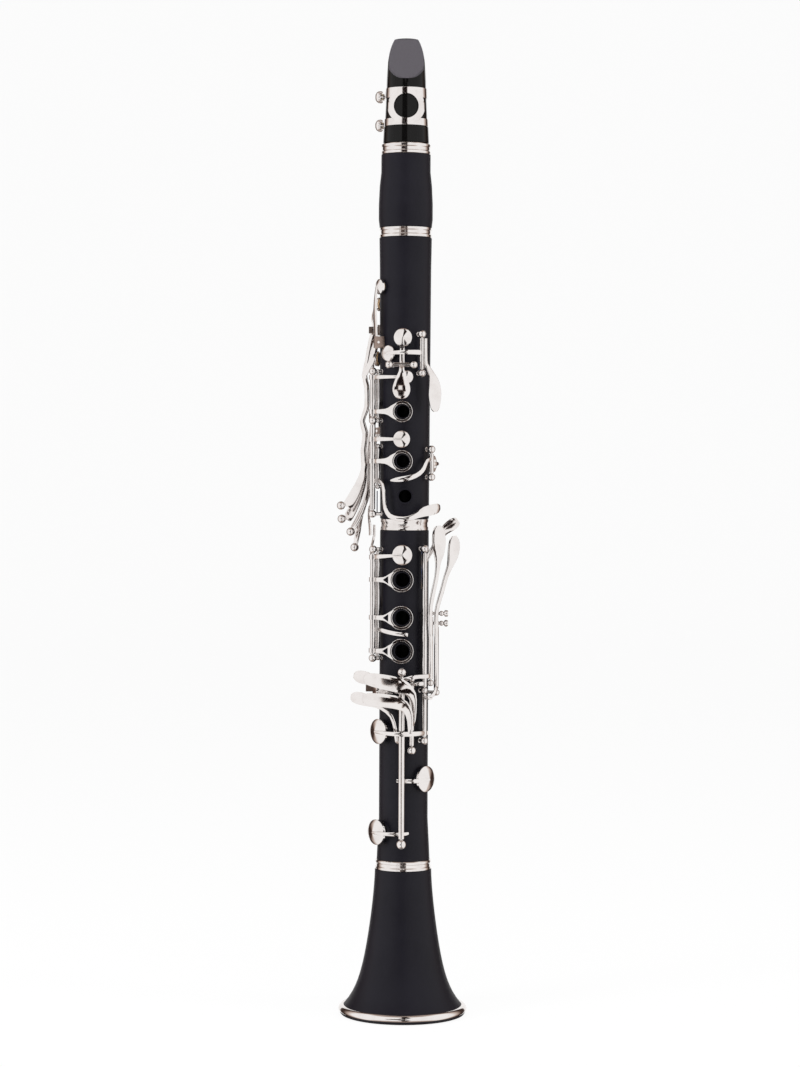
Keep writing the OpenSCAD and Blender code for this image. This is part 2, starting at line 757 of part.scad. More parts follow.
// Where an arm ends, on the peak of a cup
function peak(c, lower = false, w = 1.6) = row(polar(c[0], cup_seat_r(c, lower) + cup_top(c) - 0.2,
    c[1]), w, 1.1);

module cup(c, lower = false) {
    r = c[2];
    outward(c[0], cup_seat_r(c, lower), c[1])
        rotate_extrude($fn = 64)
            polygon([
                [0, ceiling_h], [r - 0.6, ceiling_h], [r - 0.6, lip_h], [r, lip_h],
                [r, ceiling_h + 0.2], [r - 0.4, ceiling_h + 0.6], [0, cup_top(c)]
            ]);
}

module pad(c, lower = false) {
    r = c[2] - 0.65;
    color(skin)
    outward(c[0], cup_seat_r(c, lower), c[1])
        rotate_extrude($fn = 48)
            polygon([
                [0, pad_gap], [r - 0.4, pad_gap], [r, pad_gap + 0.4], [r, ceiling_h], [0, ceiling_h]
            ]);
}

// A ring key's ring with its hole: rounded section, lying flush with the chimney
module finger_ring(c, body_r) {
    r = c[2];
    outward(c[0], body_r + chimney_h - ring_t, c[1]) translate([0, c[0] == 0 ? ring_side : 0, 0])
        rotate_extrude($fn = 64)
            polygon([
                [r - ring_w, 0], [r - 0.25, 0], [r, 0.25], [r, ring_t - 0.25], [r - 0.25, ring_t],
                [r - ring_w + 0.25, ring_t], [r - ring_w, ring_t - 0.25]
            ]);
}

// Arm from an upright hinge to the top of a cup
module cup_arm(h, c, rise, lower = false, w = 3.0, zh = 0) {
    b = lower ? lower_r : upper_r;
    a0 = azimuth(h);
    r0 = norm(h);
    r1 = cup_seat_r(c, lower) + cup_top(c) - 0.2;
    sweep([
        for (i = [0 : 4])
            let (
                s = i / 4,
                a = mix(a0, c[0], s),
                r = mix(r0, r1, s) + rise * sin(180 * s),
                z = mix(zh == 0 ? c[1] : zh, c[1], s)
            )
            row(polar(a, r, z), mix(w, 1.6, s), mix(arm_t, 1.1, s))
    ]);
}

// A collar where an arm grips a hinge tube, flat on the side of the hinge below
collar_r = 2.6;
collar_in = 1.8;
module collar(h, z, w = 3.0) {
    difference() {
        translate([h.x, h.y, z - w / 2]) cylinder(r = collar_r, h = w, $fn = 40);
        translate([0, 0, z - w]) cylinder(r = norm(h) - collar_in, h = 2 * w, $fn = 96);
    }
}

// Arm from the stack hinge to a finger ring, forked where it meets the ring
module ring_arm(h, c, body_r, web = true) {
    z = c[1];
    plane_y = -(body_r + chimney_h - ring_t / 2);
    joint = [ring_side - c[2] - 6.4, plane_y + 1.9];
    tilt = atan2(1.9, 6.4);
    collar(h, z);
    sweep([
        row([h.x, h.y - 0.4, z], 3.0), row([h.x + 2.6, h.y - 3.4, z], 3.0),
        row([mix(h.x, joint.x, 0.62), mix(h.y, joint.y, 0.62) - 1.2, z], 3.0),
        row([joint.x + 0.7, joint.y - 0.2, z], 3.0)
    ], face = unit([-0.35, -1, 0]));
    difference() {
        translate([joint.x, joint.y, z]) rotate([0, 0, -tilt]) translate([0, ring_t / 2, 0])
            rotate([90, 0, 0])
            linear_extrude(ring_t)
            difference() {
                polygon([
                    [0, -1.5], [2.6, -1.7], [4.6, -2.4], [6.6, -3.7], [8.6, -4.8], [10, -5.2],
                    [10, 5.2], [8.6, 4.8], [6.6, 3.7], [4.6, 2.4], [2.6, 1.7], [0, 1.5]
                ]);
                if (!web) polygon([[2.4, 0], [6.2, -2.5], [6.2, 2.5]]);
            }
        outward(c[0], body_r, z) translate([0, ring_side, 0])
            cylinder(r = c[2] - ring_w / 2, h = chimney_h + 6, $fn = 48);
    }
}

// ---------------------------------------------------------------- upper joint keys

stack_open = 4;
thumb_open = 4;

module first_ring_parts() {
    hinged(stack_u, upp(391.1) + ball_r + end_gap, upp(423.2) - ball_r - end_gap, stack_tube_r) {
        finger_ring(ring_one, upper_r);
        ring_arm(stack_u, ring_one, upper_r);
        cup(vent_cup);
        cup_arm(stack_u, vent_cup, 0.4);
        collar(stack_u, vent_cup[1]);
    }
}

module first_ring_key() { color(plate) swing(stack_u, -stack_open) first_ring_parts(); }
module first_ring_pad() { swing(stack_u, -stack_open) pad(vent_cup); }

module second_ring_key() {
    color(plate)
    swing(stack_u, -stack_open)
    hinged(stack_u, upp(330.1) + ball_r + end_gap, upp(391.1) - ball_r - end_gap, stack_tube_r) {
        finger_ring(ring_two, upper_r);
        ring_arm(stack_u, ring_two, upper_r);
        cup(second_cup);
        cup_arm(stack_u, second_cup, 0.4, w = 3.6);
        collar(stack_u, second_cup[1], 3.4);
        sweep([
            row(ua(-66, 6.8, 336.4), 3.0), row(ua(-76, 7.4, 334.6), 3.0), row(ua(-78.5, 7.8, 329.5), 2.8),
            row(ua(-72, 8.0, 325.6), 3.2), row(ua(-67, 8.0, 321), 4.0), row(ua(-66, 8.0, 316), 3.6)
        ]);
    }
}

module second_ring_pad() { swing(stack_u, -stack_open) pad(second_cup); }

module thumb_ring_key() {
    zt = thumb_ring[1];
    e = chimney_h - ring_t / 2;
    color(plate)
    swing(inner_u, thumb_open)
    hinged(inner_u, upp(391.1) + small_ball_r + end_gap, upp(423.2) - small_ball_r - end_gap,
        tube_r - 0.1) {
        finger_ring(thumb_ring, upper_r);
        sweep([
            row(polar(azimuth(inner_u), norm(inner_u), zt - 5), 3.6),
            row(polar(-82, upper_r + 2.6, zt - 5.6), 3.4),
            row(polar(-108, upper_r + 2.0, zt - 5.8), 3.4), row(polar(-135, upper_r + 1.9, zt - 4.6), 3.6),
            row(polar(-157, upper_r + e + 0.6, zt - 1.4), 6.0, 1.3)
        ]);
    }
}

// Takes a cross bore out of a key that tilts on a horizontal hinge in front
module throat_a_key() {
    y = -(upper_r + a_pivot_e);
    half_gap = ball_r + end_gap;
    x0 = a_post_left.x + half_gap;
    x1 = a_post_right.x - half_gap;
    color(plate)
    difference() {
        union() {
            translate([x0, y, a_pivot_z]) rotate([0, 90, 0]) cylinder(r = tube_r, h = x1 - x0, $fn = 40);
            cup(a_cup);
            sweep([
                row(ux(-2.0, 4.4, 427.2), 3.4), row(ux(-2.0, 4.8, 432), 3.2), row(ux(-1.9, 5.0, 438), 3.0),
                peak(a_cup)
            ]);
            difference() {
                outward(-5.2, upper_r + 4.2, upp(438.9)) cylinder(r = 1.5, h = 3.4, $fn = 24);
                outward(-5.2, upper_r + 7.0, upp(438.9)) translate([-0.3, -2, 0]) cube([0.6, 4, 1]);
            }
            sweep([
                row(ux(-2.2, 4.4, 427), 3.2), row(ux(-2.2, 7.4, 426.2), 3.0), row(ux(-2.2, 9.4, 423), 3.8),
                row(ux(-2.3, 9.9, 418.5), 7.6, 1.9), row(ux(-2.4, 10.0, 413.5), 11.2, 2.4),
                row(ux(-2.4, 9.9, 410), 11.6, 2.3), row(ux(-2.4, 9.7, 407.2), 9.4, 1.9),
                row(ux(-2.4, 9.5, 405.6), 6.0, 1.4), row(ux(-2.4, 9.4, 405), 2.6, 1.0)
            ], face = [0, -1, 0], sides = 12);
        }
        translate([x0 - 5, y, a_pivot_z]) rotate([0, 90, 0])
            cylinder(r = rod_r + rod_gap, h = x1 - x0 + 10, $fn = 40);
    }
}

module throat_a_pad() { pad(a_cup); }

module throat_gsharp_key() {
    z0 = upp(421.9) + ball_r + end_gap;
    z1 = upp(447.3) - ball_r - end_gap;
    color(plate)
    hinged(gsharp_h, z0, z1) {
        cup(gsharp_cup);
        sweep([
            row([gsharp_h.x, gsharp_h.y, upp(435.3)], 3.2), row(ux(8.5, 6.9, 435.3), 3.2),
            row(ux(3.2, 7.9, 435.3), 3.0), row(ux(-2.4, 8.0, 435.2), 2.8), row(ux(-7.6, 7.0, 435.0), 2.4),
            peak(gsharp_cup)
        ]);
        sweep([
            row([gsharp_h.x + 2.2, gsharp_h.y - 0.6, z1], 2.6),
            row([gsharp_h.x + 2.4, gsharp_h.y - 0.8, upp(430)], 2.6),
            row([gsharp_h.x + 3.4, gsharp_h.y - 1.5, upp(426.5)], 2.8),
            row([17.4, -19.2, upp(420.5)], 4.8), row([19.2, -19.4, upp(414.5)], 8.2),
            row([19.4, -19.4, upp(408)], 9.6), row([19.5, -19.3, upp(401.5)], 7.8),
            row([19.6, -19.2, upp(398)], 5.2, 1.3), row([19.7, -19.2, upp(396.8)], 2.2, 1.0)
        ], face = unit([0.5, -0.87, 0]), sides = 12);
    }
}

module throat_gsharp_pad() { pad(gsharp_cup); }

module register_key() {
    y = upper_r + register_pivot_e;
    half = register_post_x - ball_r - end_gap;
    color(plate)
    difference() {
        union() {
            translate([-half, y, register_pivot_z]) rotate([0, 90, 0])
                cylinder(r = tube_r, h = 2 * half, $fn = 40);
            cup(register_cup);
            sweep([
                row(ua(180, 4.4, 447), 4.0), row(ua(180, 5.4, 453), 3.4),
                peak(register_cup, w = 1.8)
            ]);
            sweep([
                row(ua(180, 4.4, 447), 4.0), row(ua(180, 6.4, 441.6), 4.4), row(ua(180, 7.4, 435), 6.4),
                row(ua(180, 6.8, 428), 8.4), row(ua(180, 5.6, 421.8), 7.6),
                row(ua(180, 5.0, 418.6), 3.4, 1.0)
            ], sides = 12);
        }
        translate([-half - 5, y, register_pivot_z])
            rotate([0, 90, 0]) cylinder(r = rod_r + rod_gap, h = 2 * half + 10, $fn = 40);
    }
}

module register_pad() { pad(register_cup); }

// Saddles of the four side keys: azimuth, height over the body, height
saddles = [
    [-66, 4.2, upp(442.2), 7.6], [-97, 4.2, upp(450.6), 4.4], [-108, 4.2, upp(393.4), 4.4],
    [-127, 4.2, upp(384.6), 4.4]
];

saddle_w = 7.4;
saddle_ear = 1.2;
side_ball_r = 2.8;

// Frame of a saddle's pivot: X outward, Y along the pivot, Z up
module saddle_frame(s) {
    translate([0, 0, s[2]]) rotate([0, 0, s[0] - 90]) translate([upper_r + s[1], 0, 0]) children();
}

module side_key_saddles() {
    color(plate)
    for (s = saddles) {
        saddle_frame(s)
        difference() {
            union() {
                translate([-s[1] - 0.2, -saddle_w / 2, -3.4]) cube([1.6, saddle_w, 6.8]);
                translate([-s[1], -saddle_w / 2, -2.2]) cube([s[1], saddle_ear, 4.4]);
                translate([0, -saddle_w / 2, 0])
                    rotate([-90, 0, 0]) cylinder(r = 2.2, h = saddle_ear, $fn = 32);
                translate([-s[1], saddle_w / 2 - saddle_ear, -s[3] / 2])
                    cube([s[1] + 3.0, saddle_ear, s[3]]);
            }
            rotate([90, 0, 0]) cylinder(r = rod_r + bore_clear, h = 20, center = true, $fn = 32);
            translate([-s[1] - upper_r, 0, -6]) cylinder(r = upper_r + 0.45, h = 12, $fn = 96);
        }
    }
}

module side_lever(s, c, rows_up, rows_down, tip) {
    color(plate)
    difference() {
        union() {
            saddle_frame(s) rotate([90, 0, 0])
                cylinder(r = tube_r, h = saddle_w - 2 * saddle_ear - 2 * end_gap, center = true, $fn = 40);
            cup(c);
            sweep(concat(
                [peak(c)],
                rows_up,
                [row(polar(s[0], upper_r + s[1], s[2]), 3.6)]
            ));
            sweep(concat([row(polar(s[0], upper_r + s[1], s[2]), 3.6)], rows_down), face = unit([-0.35,
                -1, 0]));
            translate(tip) rotate([0, 0, 150]) sphere(r = side_ball_r, $fn = 32);
        }
        saddle_frame(s) rotate([90, 0, 0]) cylinder(r = rod_r + rod_gap, h = 20, center = true, $fn = 40);
    }
}

// The trill levers bow out over the posts of the upper stack
module upper_trill_key() {
    side_lever(saddles[0], trill_one_cup,
        [row(ua(-63, 5.6, 469), 3.4), row(ua(-66, 5.2, 456), 5.0)],
        [
            row(ua(-66, 6.0, 436), 4.6), row(ua(-70, 7.4, 429), 4.0), row(ua(-81, 10.2, 421), 3.2),
            row(ua(-80, 8.9, 414), 3.2), row(ua(-80, 8.6, 404), 3.2), row(ua(-80, 9.2, 398), 3.2),
            row(ua(-81, 11.7, 391), 3.2), row(ua(-80, 9.6, 383.6), 3.2), row(ua(-80, 10.8, 372), 3.4),
            row(ua(-80, 10.2, 362), 3.8), row([-28.4, -5.6, upp(352.8)], 5.2),
            row([-31.6, -6.4, upp(345.4)], 6.6), row([-34.8, -7.2, upp(339.4)], 7.2),
            row([-37.0, -7.6, upp(335.8)], 7.0), row([-37.7, -7.8, upp(334.6)], 5.0, 1.2)
        ],
        [-41.6, -8, upp(335.4)]);
}

module lower_trill_key() {
    side_lever(saddles[1], trill_two_cup,
        [row(ua(-114, 6.2, 463), 2.6), row(ua(-103, 5.6, 457), 3.2)],
        [
            row(ua(-95, 6.4, 443), 3.2), row(ua(-94, 8.6, 430), 3.2), row(ua(-93.5, 10.4, 421), 3.2),
            row(ua(-93, 8.8, 413), 3.2), row(ua(-93, 8.8, 400), 3.2), row(ua(-93, 11.6, 390.5), 3.2),
            row(ua(-93, 9.8, 382), 3.2), row(ua(-93, 11.1, 371), 3.2), row(ua(-93, 10.2, 354), 3.8),
            row([-29.6, 0.2, upp(343)], 5.2), row([-32.8, -0.7, upp(335.6)], 6.4),
            row([-35.6, -1.4, upp(330)], 6.8), row([-37.2, -1.8, upp(327)], 6.2),
            row([-37.8, -1.9, upp(325.8)], 4.4, 1.2)
        ],
        [-41.2, -2, upp(326.6)]);
}

module side_bflat_key() {
    side_lever(saddles[2], bflat_cup,
        [row(ua(-108, 5.8, 420), 2.8), row(ua(-108, 5.2, 404), 3.2)],
        [
            row(ua(-107, 7.4, 382), 3.2), row(ua(-106, 9.0, 370), 3.2), row(ua(-106, 9.4, 345), 3.4),
            row([-28.6, 5.2, upp(331)], 4.4), row([-32.8, 3.0, upp(322.4)], 4.2),
            row([-35, 2, upp(318.8)], 2.8)
        ],
        [-35.4, 2, upp(318.1)]);
}

module side_fsharp_key() {
    side_lever(saddles[3], fsharp_cup,
        [row(ua(-127, 5.8, 404), 2.8), row(ua(-127, 5.0, 396), 3.2)],
        [
            row(ua(-125, 7.4, 379), 3.2), row(ua(-120, 9.2, 366), 3.2), row(ua(-118, 9.8, 346), 3.2),
            row([-28.8, 9.4, upp(331)], 4.0), row([-30.8, 7.6, upp(318)], 4.0),
            row([-32.4, 6.2, upp(308.8)], 2.8)
        ],
        [-32.8, 6, upp(307.7)]);
}

module upper_trill_pad() { pad(trill_one_cup); }
module lower_trill_pad() { pad(trill_two_cup); }
module side_bflat_pad() { pad(bflat_cup); }
module side_fsharp_pad() { pad(fsharp_cup); }

module csharp_gsharp_key() {
    color(plate)
    hinged(inner_u, upp(347.9) + small_ball_r + end_gap, upp(374.4) - small_ball_r - end_gap,
        tube_r - 0.1) {
        cup(csharp_cup);
        cup_arm(inner_u, csharp_cup, 0.7);
        sweep([
            row([inner_u.x, inner_u.y, upp(352.6)], 2.8), row(ux(-14.2, 4.8, 349), 2.8),
            row(ux(-13.3, 5.4, 341), 2.8), row(ux(-12.6, 5.6, 334), 3.0), row(ux(-9.6, 5.8, 329), 3.2),
            row(ux(-4, 6.0, 327.2), 3.2), row(ux(2.5, 6.2, 327.4), 3.2), row(ux(8.5, 6.6, 329.6), 4.2),
            row(ux(13, 7.2, 331.8), 6.6), row(ux(18, 8.0, 333), 7.2),
            row(ux(21.6, 8.6, 334), 6.2), row(ux(23, 8.8, 334.4), 3.4, 1.0)
        ], sides = 10);
    }
}

module csharp_gsharp_pad() { pad(csharp_cup); }

module sliver_eflat_key() {
    color(plate)
    hinged(sliver_h, upp(354.3) + ball_r + end_gap, upp(372.4) - ball_r - end_gap) {
        cup(sliver_cup);
        cup_arm(sliver_h, sliver_cup, 1.0);
        sweep([
            row([sliver_h.x, sliver_h.y, upp(366)], 2.8), row(ux(14.4, 5.6, 364.6), 2.8),
            row(ux(12.4, 5.8, 360), 2.8), row(ux(9.4, 5.2, 356.6), 3.0), row(ux(4.4, 4.4, 354.2), 3.4),
            row(ux(-1.5, 4.0, 353), 3.6), row(ux(-6, 3.8, 352.4), 2.8), row(ux(-9.2, 3.6, 352), 1.0, 1.0)
        ]);
    }
}

module sliver_eflat_pad() { pad(sliver_cup); }

// ---------------------------------------------------------------- lower joint keys

module lower_ring_key() {
    color(plate)
    swing(stack_l, -stack_open)
    hinged(stack_l, low(235.6) + ball_r + end_gap, low(306.9) - ball_r - end_gap, stack_tube_r) {
        for (c = [ring_three, ring_four, ring_five]) {
            finger_ring(c, lower_r);
            ring_arm(stack_l, c, lower_r, web = false);
        }
        cup(stack_cup);
        cup_arm(stack_l, stack_cup, 0.4, w = 3.4, zh = low(301.8));
        collar(stack_l, low(301.8));
        sweep([
            row(la(-64, 6.8, 300.6), 3.0), row(la(-76, 6.8, 302), 3.0), row(la(-78.5, 6.4, 308), 2.8),
            row(la(-72, 5.8, 312.6), 3.2), row(la(-67, 5.6, 317), 3.8), row(la(-66, 5.6, 323), 3.4)
        ]);
    }
}

module lower_ring_pad() { swing(stack_l, -stack_open) pad(stack_cup); }

module fork_b_key() {
    color(plate)
    hinged(inner_l, low(235.6) + small_ball_r + end_gap, low(306.9) - small_ball_r - end_gap,
        tube_r - 0.1) {
        cup(fork_cup);
        cup_arm(inner_l, fork_cup, 1.2);
        sweep([
            row([inner_l.x, inner_l.y, low(254.4)], 2.8), row(lx(-13.6, 3.4, 253.8), 2.8),
            row(lx(-9, 3.5, 252.8), 2.8), row(lx(-4, 3.5, 252), 2.7), row(lx(0.6, 3.4, 251.6), 2.6),
            row(lx(2.4, 3.4, 251.4), 2.3, 1.3)
        ]);
    }
}

module fork_b_pad() { pad(fork_cup); }

low_open = 6.5;

module left_fsharp_lever() {
    color(plate)
    hinged(lever_a, low(214.9) + 2.2 + end_gap, low(307.4) - ball_r - end_gap) {
        sweep([
            row([lever_a.x, lever_a.y, low(219.5)], 3.0), row([11.4, -18.2, low(219.5)], 2.8),
            row([9.4, -19.7, low(219.5)], 2.6), row([7.9, -20.1, low(219.5)], 2.4, 1.1)
        ]);
        sweep([
            row([lever_a.x, lever_a.y, low(299)], 3.0), row([16.6, -14.6, low(304.4)], 3.2),
            row([21.2, -12.8, low(312)], 3.6), row([25.6, -12.6, low(318.8)], 6.0),
            row([30, -13.2, low(322.6)], 8.0), row([33.4, -13.6, low(325)], 7.0),
            row([35, -13.8, low(326)], 4.0, 1.0)
        ], face = unit([0.36, -0.93, 0]), sides = 10);
    }
}

module left_e_lever() {
    color(plate)
    hinged(lever_b, low(219.8) + 2.2 + end_gap, low(265.3) - side_post_r - end_gap) {
        sweep([
            row([lever_b.x, lever_b.y, low(224.4)], 3.0), row([15.4, -18.6, low(224.4)], 2.8),
            row([11.4, -21.5, low(224.4)], 2.6), row([7.4, -22.8, low(224.4)], 2.4, 1.1)
        ]);
        sweep([
            row([lever_b.x - 0.1, lever_b.y - 0.6, low(250)], 2.6), row([17.2, -17.4, low(256)], 2.8),
            row([17.0, -19.0, low(262)], 2.8), row([17.2, -19.2, low(270)], 2.8),
            row([18.8, -19.0, low(279)], 3.0),
            row([20.9, -18.8, low(289)], 2.8), row([21.9, -18.6, low(298)], 3.6),
            row([22.4, -18.7, low(304)], 7.0),
            row([22.5, -18.8, low(311)], 9.3), row([22.3, -18.8, low(317)], 8.8),
            row([22.0, -18.7, low(321)], 6.4),
            row([21.8, -18.6, low(322.6)], 3.2, 1.0)
        ], face = unit([0.25, -1, 0]), sides = 12);
    }
}

module left_f_lever() {
    color(plate)
    hinged(lever_c, low(213.4) + 2.2 + end_gap, low(258.7) - side_post_r - end_gap) {
        sweep([
            row([lever_c.x, lever_c.y, low(218)], 2.8), row([21.0, -14.6, low(215.6)], 2.6),
            row([19.2, -17.0, low(212.4)], 2.4), row([17.4, -17.7, low(210.8)], 2.4, 1.1)
        ], face = unit([1, -1, 0.2]));
        sweep([
            row([lever_c.x, lever_c.y - 0.6, low(244)], 2.6), row([21.1, -14.4, low(250)], 2.8),
            row([20.9, -16.8, low(256)], 2.8), row([20.9, -17.0, low(264)], 2.8),
            row([22.0, -16.8, low(271)], 2.8),
            row([24.6, -16.2, low(280)], 3.0), row([27.0, -15.8, low(289)], 3.0),
            row([29.6, -15.4, low(296)], 4.2),
            row([31.4, -15.2, low(302)], 7.0), row([32.3, -15, low(308)], 8.2),
            row([32.5, -15, low(313)], 6.8),
            row([32.4, -15, low(316)], 3.0, 1.0)
        ], face = unit([0.3, -1, 0]), sides = 12);
    }
}

module low_e_key() {
    color(plate)
    hinged(low_e_h, low(114.9) + foot_post_r + end_gap, low(227.1) - 2.9 - end_gap, long_tube_r) {
        swing(low_e_h, low_open) {
            cup(low_e_cup, true);
            cup_arm(low_e_h, low_e_cup, 1.2, true, w = 3.0);
            sweep([
                row([low_e_h.x, low_e_h.y - 0.8, low_e_cup[1]], 2.6),
                row([1.4, low_e_h.y - 0.6, low_e_cup[1] + 0.2], 2.2, 1.3),
                row([3.4, low_e_h.y, low_e_cup[1] + 0.6], 1.6, 1.3)
            ]);
        }
        // tab lifted by the left hand lever
        sweep([
            row([low_e_h.x, low_e_h.y, low(221.8)], 3.0), row([2.6, -24.9, low(223.3)], 2.6),
            row([6, -25.4, low(224.2)], 2.8), row([9.6, -24.6, low(224.4)], 2.2, 1.1)
        ]);
        // outer upper touch
        sweep([
            row([low_e_h.x, low_e_h.y, low(217.6)], 3.2), row([-6, -23.0, low(218.4)], 3.2),
            row([-13, -21.6, low(219.8)], 3.6), row([-19, -18.6, low(221.4)], 6.4),
            row([-24, -16.8, low(222.8)], 8.6), row([-29, -14.8, low(223.8)], 8.4),
            row([-31.6, -13.6, low(224.2)], 5.8), row([-32.6, -13.0, low(224.4)], 2.8, 1.0)
        ], sides = 10, face = unit([-0.35, -1, 0]));
        // dark stop between the two outer touches
        translate([-24.8, -19.0, low(214.4)]) cube([4.8, 2.0, 5.0]);
    }
}

module low_e_pad() { swing(low_e_h, low_open) pad(low_e_cup, true); }

module low_f_key() {
    color(plate)
    hinged(lever_a, low(182) + ball_r + end_gap, low(214.9) - 2.2 - end_gap) {
        swing(lever_a, low_open) {
            cup(low_f_cup, true);
            sweep([
                row([15.9, -14.6, low(187.1)], 2.6, 1.2),
                row([lever_a.x, lever_a.y - 0.8, low(187.2)], 3.0),
                row([9.6, -21.4, low(187.3)], 3.0), row([4.5, -24.8, low(187.3)], 3.2),
                row([-1.3, -25.9, low(187.3)], 3.2), row([-7.4, -24.9, low(187.4)], 2.8),
                row([-13.2, -20.6, low(187.6)], 2.4),
                peak(low_f_cup, true, 1.8)
            ]);
        }
        // tab lifted by the left hand lever
        sweep([
            row([lever_a.x + 0.2, lever_a.y - 0.5, low(210.2)], 3.0), row([15.3, -18.8, low(210.4)], 2.6),
            row([18.6, -19.9, low(210.6)], 2.2, 1.1)
        ], face = [0.43, -0.9, 0]);
        // inner lower touch and its arm
        sweep([
            row([4.2, -26.6, low(187.6)], 3.0), row([4.2, -27.2, low(196)], 4.0),
            row([2.4, -28.6, low(203.4)], 6.2), row([-3, -28.8, low(207.4)], 8.4),
            row([-10, -27.6, low(208.8)], 9.0),
            row([-17, -25.8, low(209.4)], 8.8), row([-22.6, -24.0, low(209.8)], 8.2),
            row([-25.6, -22.9, low(210)], 6.0), row([-26.8, -22.4, low(210.1)], 2.8, 1.0)
        ], face = unit([-0.22, -1, 0]), sides = 12);
    }
}

module low_f_pad() { swing(lever_a, low_open) pad(low_f_cup, true); }

module low_fsharp_key() {
    color(plate)
    hinged(low_fsharp_h, low(176) + 2.9 + end_gap, low(222.4) - 2.0 - end_gap) {
        swing(low_fsharp_h, low_open) {
            cup(low_fsharp_cup, true);
            sweep([
                row([low_fsharp_h.x, low_fsharp_h.y, low_fsharp_cup[1]], 3.0),
                row([1.6, -18.8, low_fsharp_cup[1]], 3.0),
                row([-2.6, -18.5, low_fsharp_cup[1]], 2.8), row([-7.4, -18.4, low_fsharp_cup[1]], 2.6),
                row([-12, -17.0, low_fsharp_cup[1]], 2.2),
                peak(low_fsharp_cup, true)
            ]);
        }
        // tab lifted by the left hand lever
        sweep([
            row([low_fsharp_h.x, low_fsharp_h.y, low(219)], 2.4), row([7.2, -22.0, low(219.4)], 2.2),
            row([10.2, -22.2, low(219.6)], 2.2, 1.1)
        ]);
        // inner upper touch and its arm
        sweep([
            row([low_fsharp_h.x, low_fsharp_h.y, low(192)], 3.0), row([6.2, -22.6, low(197)], 3.6),
            row([6.4, -24.6, low(206)], 4.2), row([5.2, -26.6, low(213)], 6.0),
            row([0.6, -28.0, low(217.6)], 8.6),
            row([-5, -28.2, low(219.6)], 10.0), row([-11, -27.0, low(220.8)], 10.2),
            row([-17, -25.4, low(221.8)], 9.6), row([-22, -23.8, low(222.6)], 8.4),
            row([-24.8, -22.9, low(223)], 6.0), row([-26, -22.4, low(223.2)], 2.8, 1.0)
        ], face = unit([-0.2, -1, 0]), sides = 12);
    }
}

module low_fsharp_pad() { swing(low_fsharp_h, low_open) pad(low_fsharp_cup, true); }

module low_aflat_key() {
    color(plate)
    hinged(low_aflat_h, low(150.2) + 1.95 + end_gap, low(186.8) - 1.95 - end_gap, 1.4) {
        cup(low_aflat_cup, true);
        sweep([
            row([-4.6, -18.2, low(155.9)], 2.2), row([low_aflat_h.x, low_aflat_h.y, low(155.9)], 2.8),
            row([3.8, -19.8, low(155.9)], 2.8), row([9.2, -19.4, low(156)], 2.8),
            row([14, -16.4, low(156.2)], 2.4),
            peak(low_aflat_cup, true, 1.8)
        ]);
        // outer lower touch and its arm
        sweep([
            row([low_aflat_h.x, low_aflat_h.y, low(180.5)], 2.6), row([-4.4, -20.6, low(182)], 2.4),
            row([-5.4, -22.2, low(190)], 2.4), row([-8, -22.5, low(198.5)], 2.6),
            row([-14.6, -20.2, low(204)], 3.0),
            row([-20.4, -18.0, low(207)], 6.2), row([-25.6, -16.2, low(208.8)], 8.4),
            row([-30.6, -14.0, low(209.8)], 8.2), row([-33.4, -12.9, low(210.1)], 6.0),
            row([-34.6, -12.4, low(210.2)], 2.8, 1.0)
        ], sides = 10, face = unit([-0.35, -1, 0]));
    }
}

module low_aflat_pad() { pad(low_aflat_cup, true); }

// ---------------------------------------------------------------- small fixed pieces

rest_z = 262;
rest_screw_list = [[180, 0, low(rest_z + 15)], [180, 0, low(rest_z - 9)]];

module thumb_rest() {
    zc = low(rest_z);
    r = lower_r + 0.02;
    color(plate)
    difference() {
        union() {
            intersection() {
                revolved([[r, zc - 14], [r + 1.4, zc - 14], [r + 1.4, zc + 20], [r, zc + 20]]);
                translate([-7.5, 0, zc - 15]) cube([15, 30, 40]);
            }
            // hook over the thumb
            translate([-6.5, 0, 0]) rotate([90, 0, 90]) linear_extrude(13)
                polygon([
                    [r + 0.9, zc + 9], [r + 6, zc + 7.4], [r + 14, zc + 5.8], [r + 19, zc + 3.6],
                    [r + 20, zc + 1.4], [r + 18.2, zc + 1.2], [r + 13.4, zc + 3.2], [r + 6, zc + 4.2],
                    [r + 2.6, zc + 2.6], [r + 0.9, zc - 1]
                ]);
        }
        translate([0, 0, zc - 20]) cylinder(r = r, h = 50, $fn = 96);
        for (p = rest_screw_list) outward(p[0], lower_r - 1, p[2])
            cylinder(r = shank_r + bore_clear, h = 10, $fn = 24);
    }
}

module thumb_rest_screws() {
    color(plate)
    for (p = rest_screw_list) {
        outward(p[0], lower_r - shank_h, p[2]) cylinder(r = shank_r, h = shank_h + 1.5, $fn = 24);
        outward(p[0], lower_r + 1.42, p[2]) cylinder(r1 = 2.6, r2 = 2.0, h = 0.9, $fn = 32);
    }
}

module bore_tubes() {
    color(plate) {
        outward(register_cup[0], bore_r - 2.6, register_cup[1])
            difference() {
                cylinder(r = 2.4 - bore_clear, h = upper_r + seat_h - bore_r + 2.6, $fn = 32);
                translate([0, 0, -1]) cylinder(r = 1.5, h = 30, $fn = 32);
            }
        outward(thumb_ring[0], bore_r - 1.4, thumb_ring[1])
            difference() {
                cylinder(r = 4.0 - bore_clear, h = upper_r + chimney_h + 0.3 - bore_r + 1.4, $fn = 48);
                translate([0, 0, -1]) cylinder(r = 3.1, h = 30, $fn = 48);
            }
    }
}

// Wire spring let into a post's stem below the ball, running along the hinge
module spring(p, length) {
    q = polar(p[0], p[1] - p[3] - 0.75, p[2]);
    translate([q.x, q.y, length < 0 ? q.z + length : q.z]) cylinder(r = 0.35, h = abs(length), $fn = 16);
}

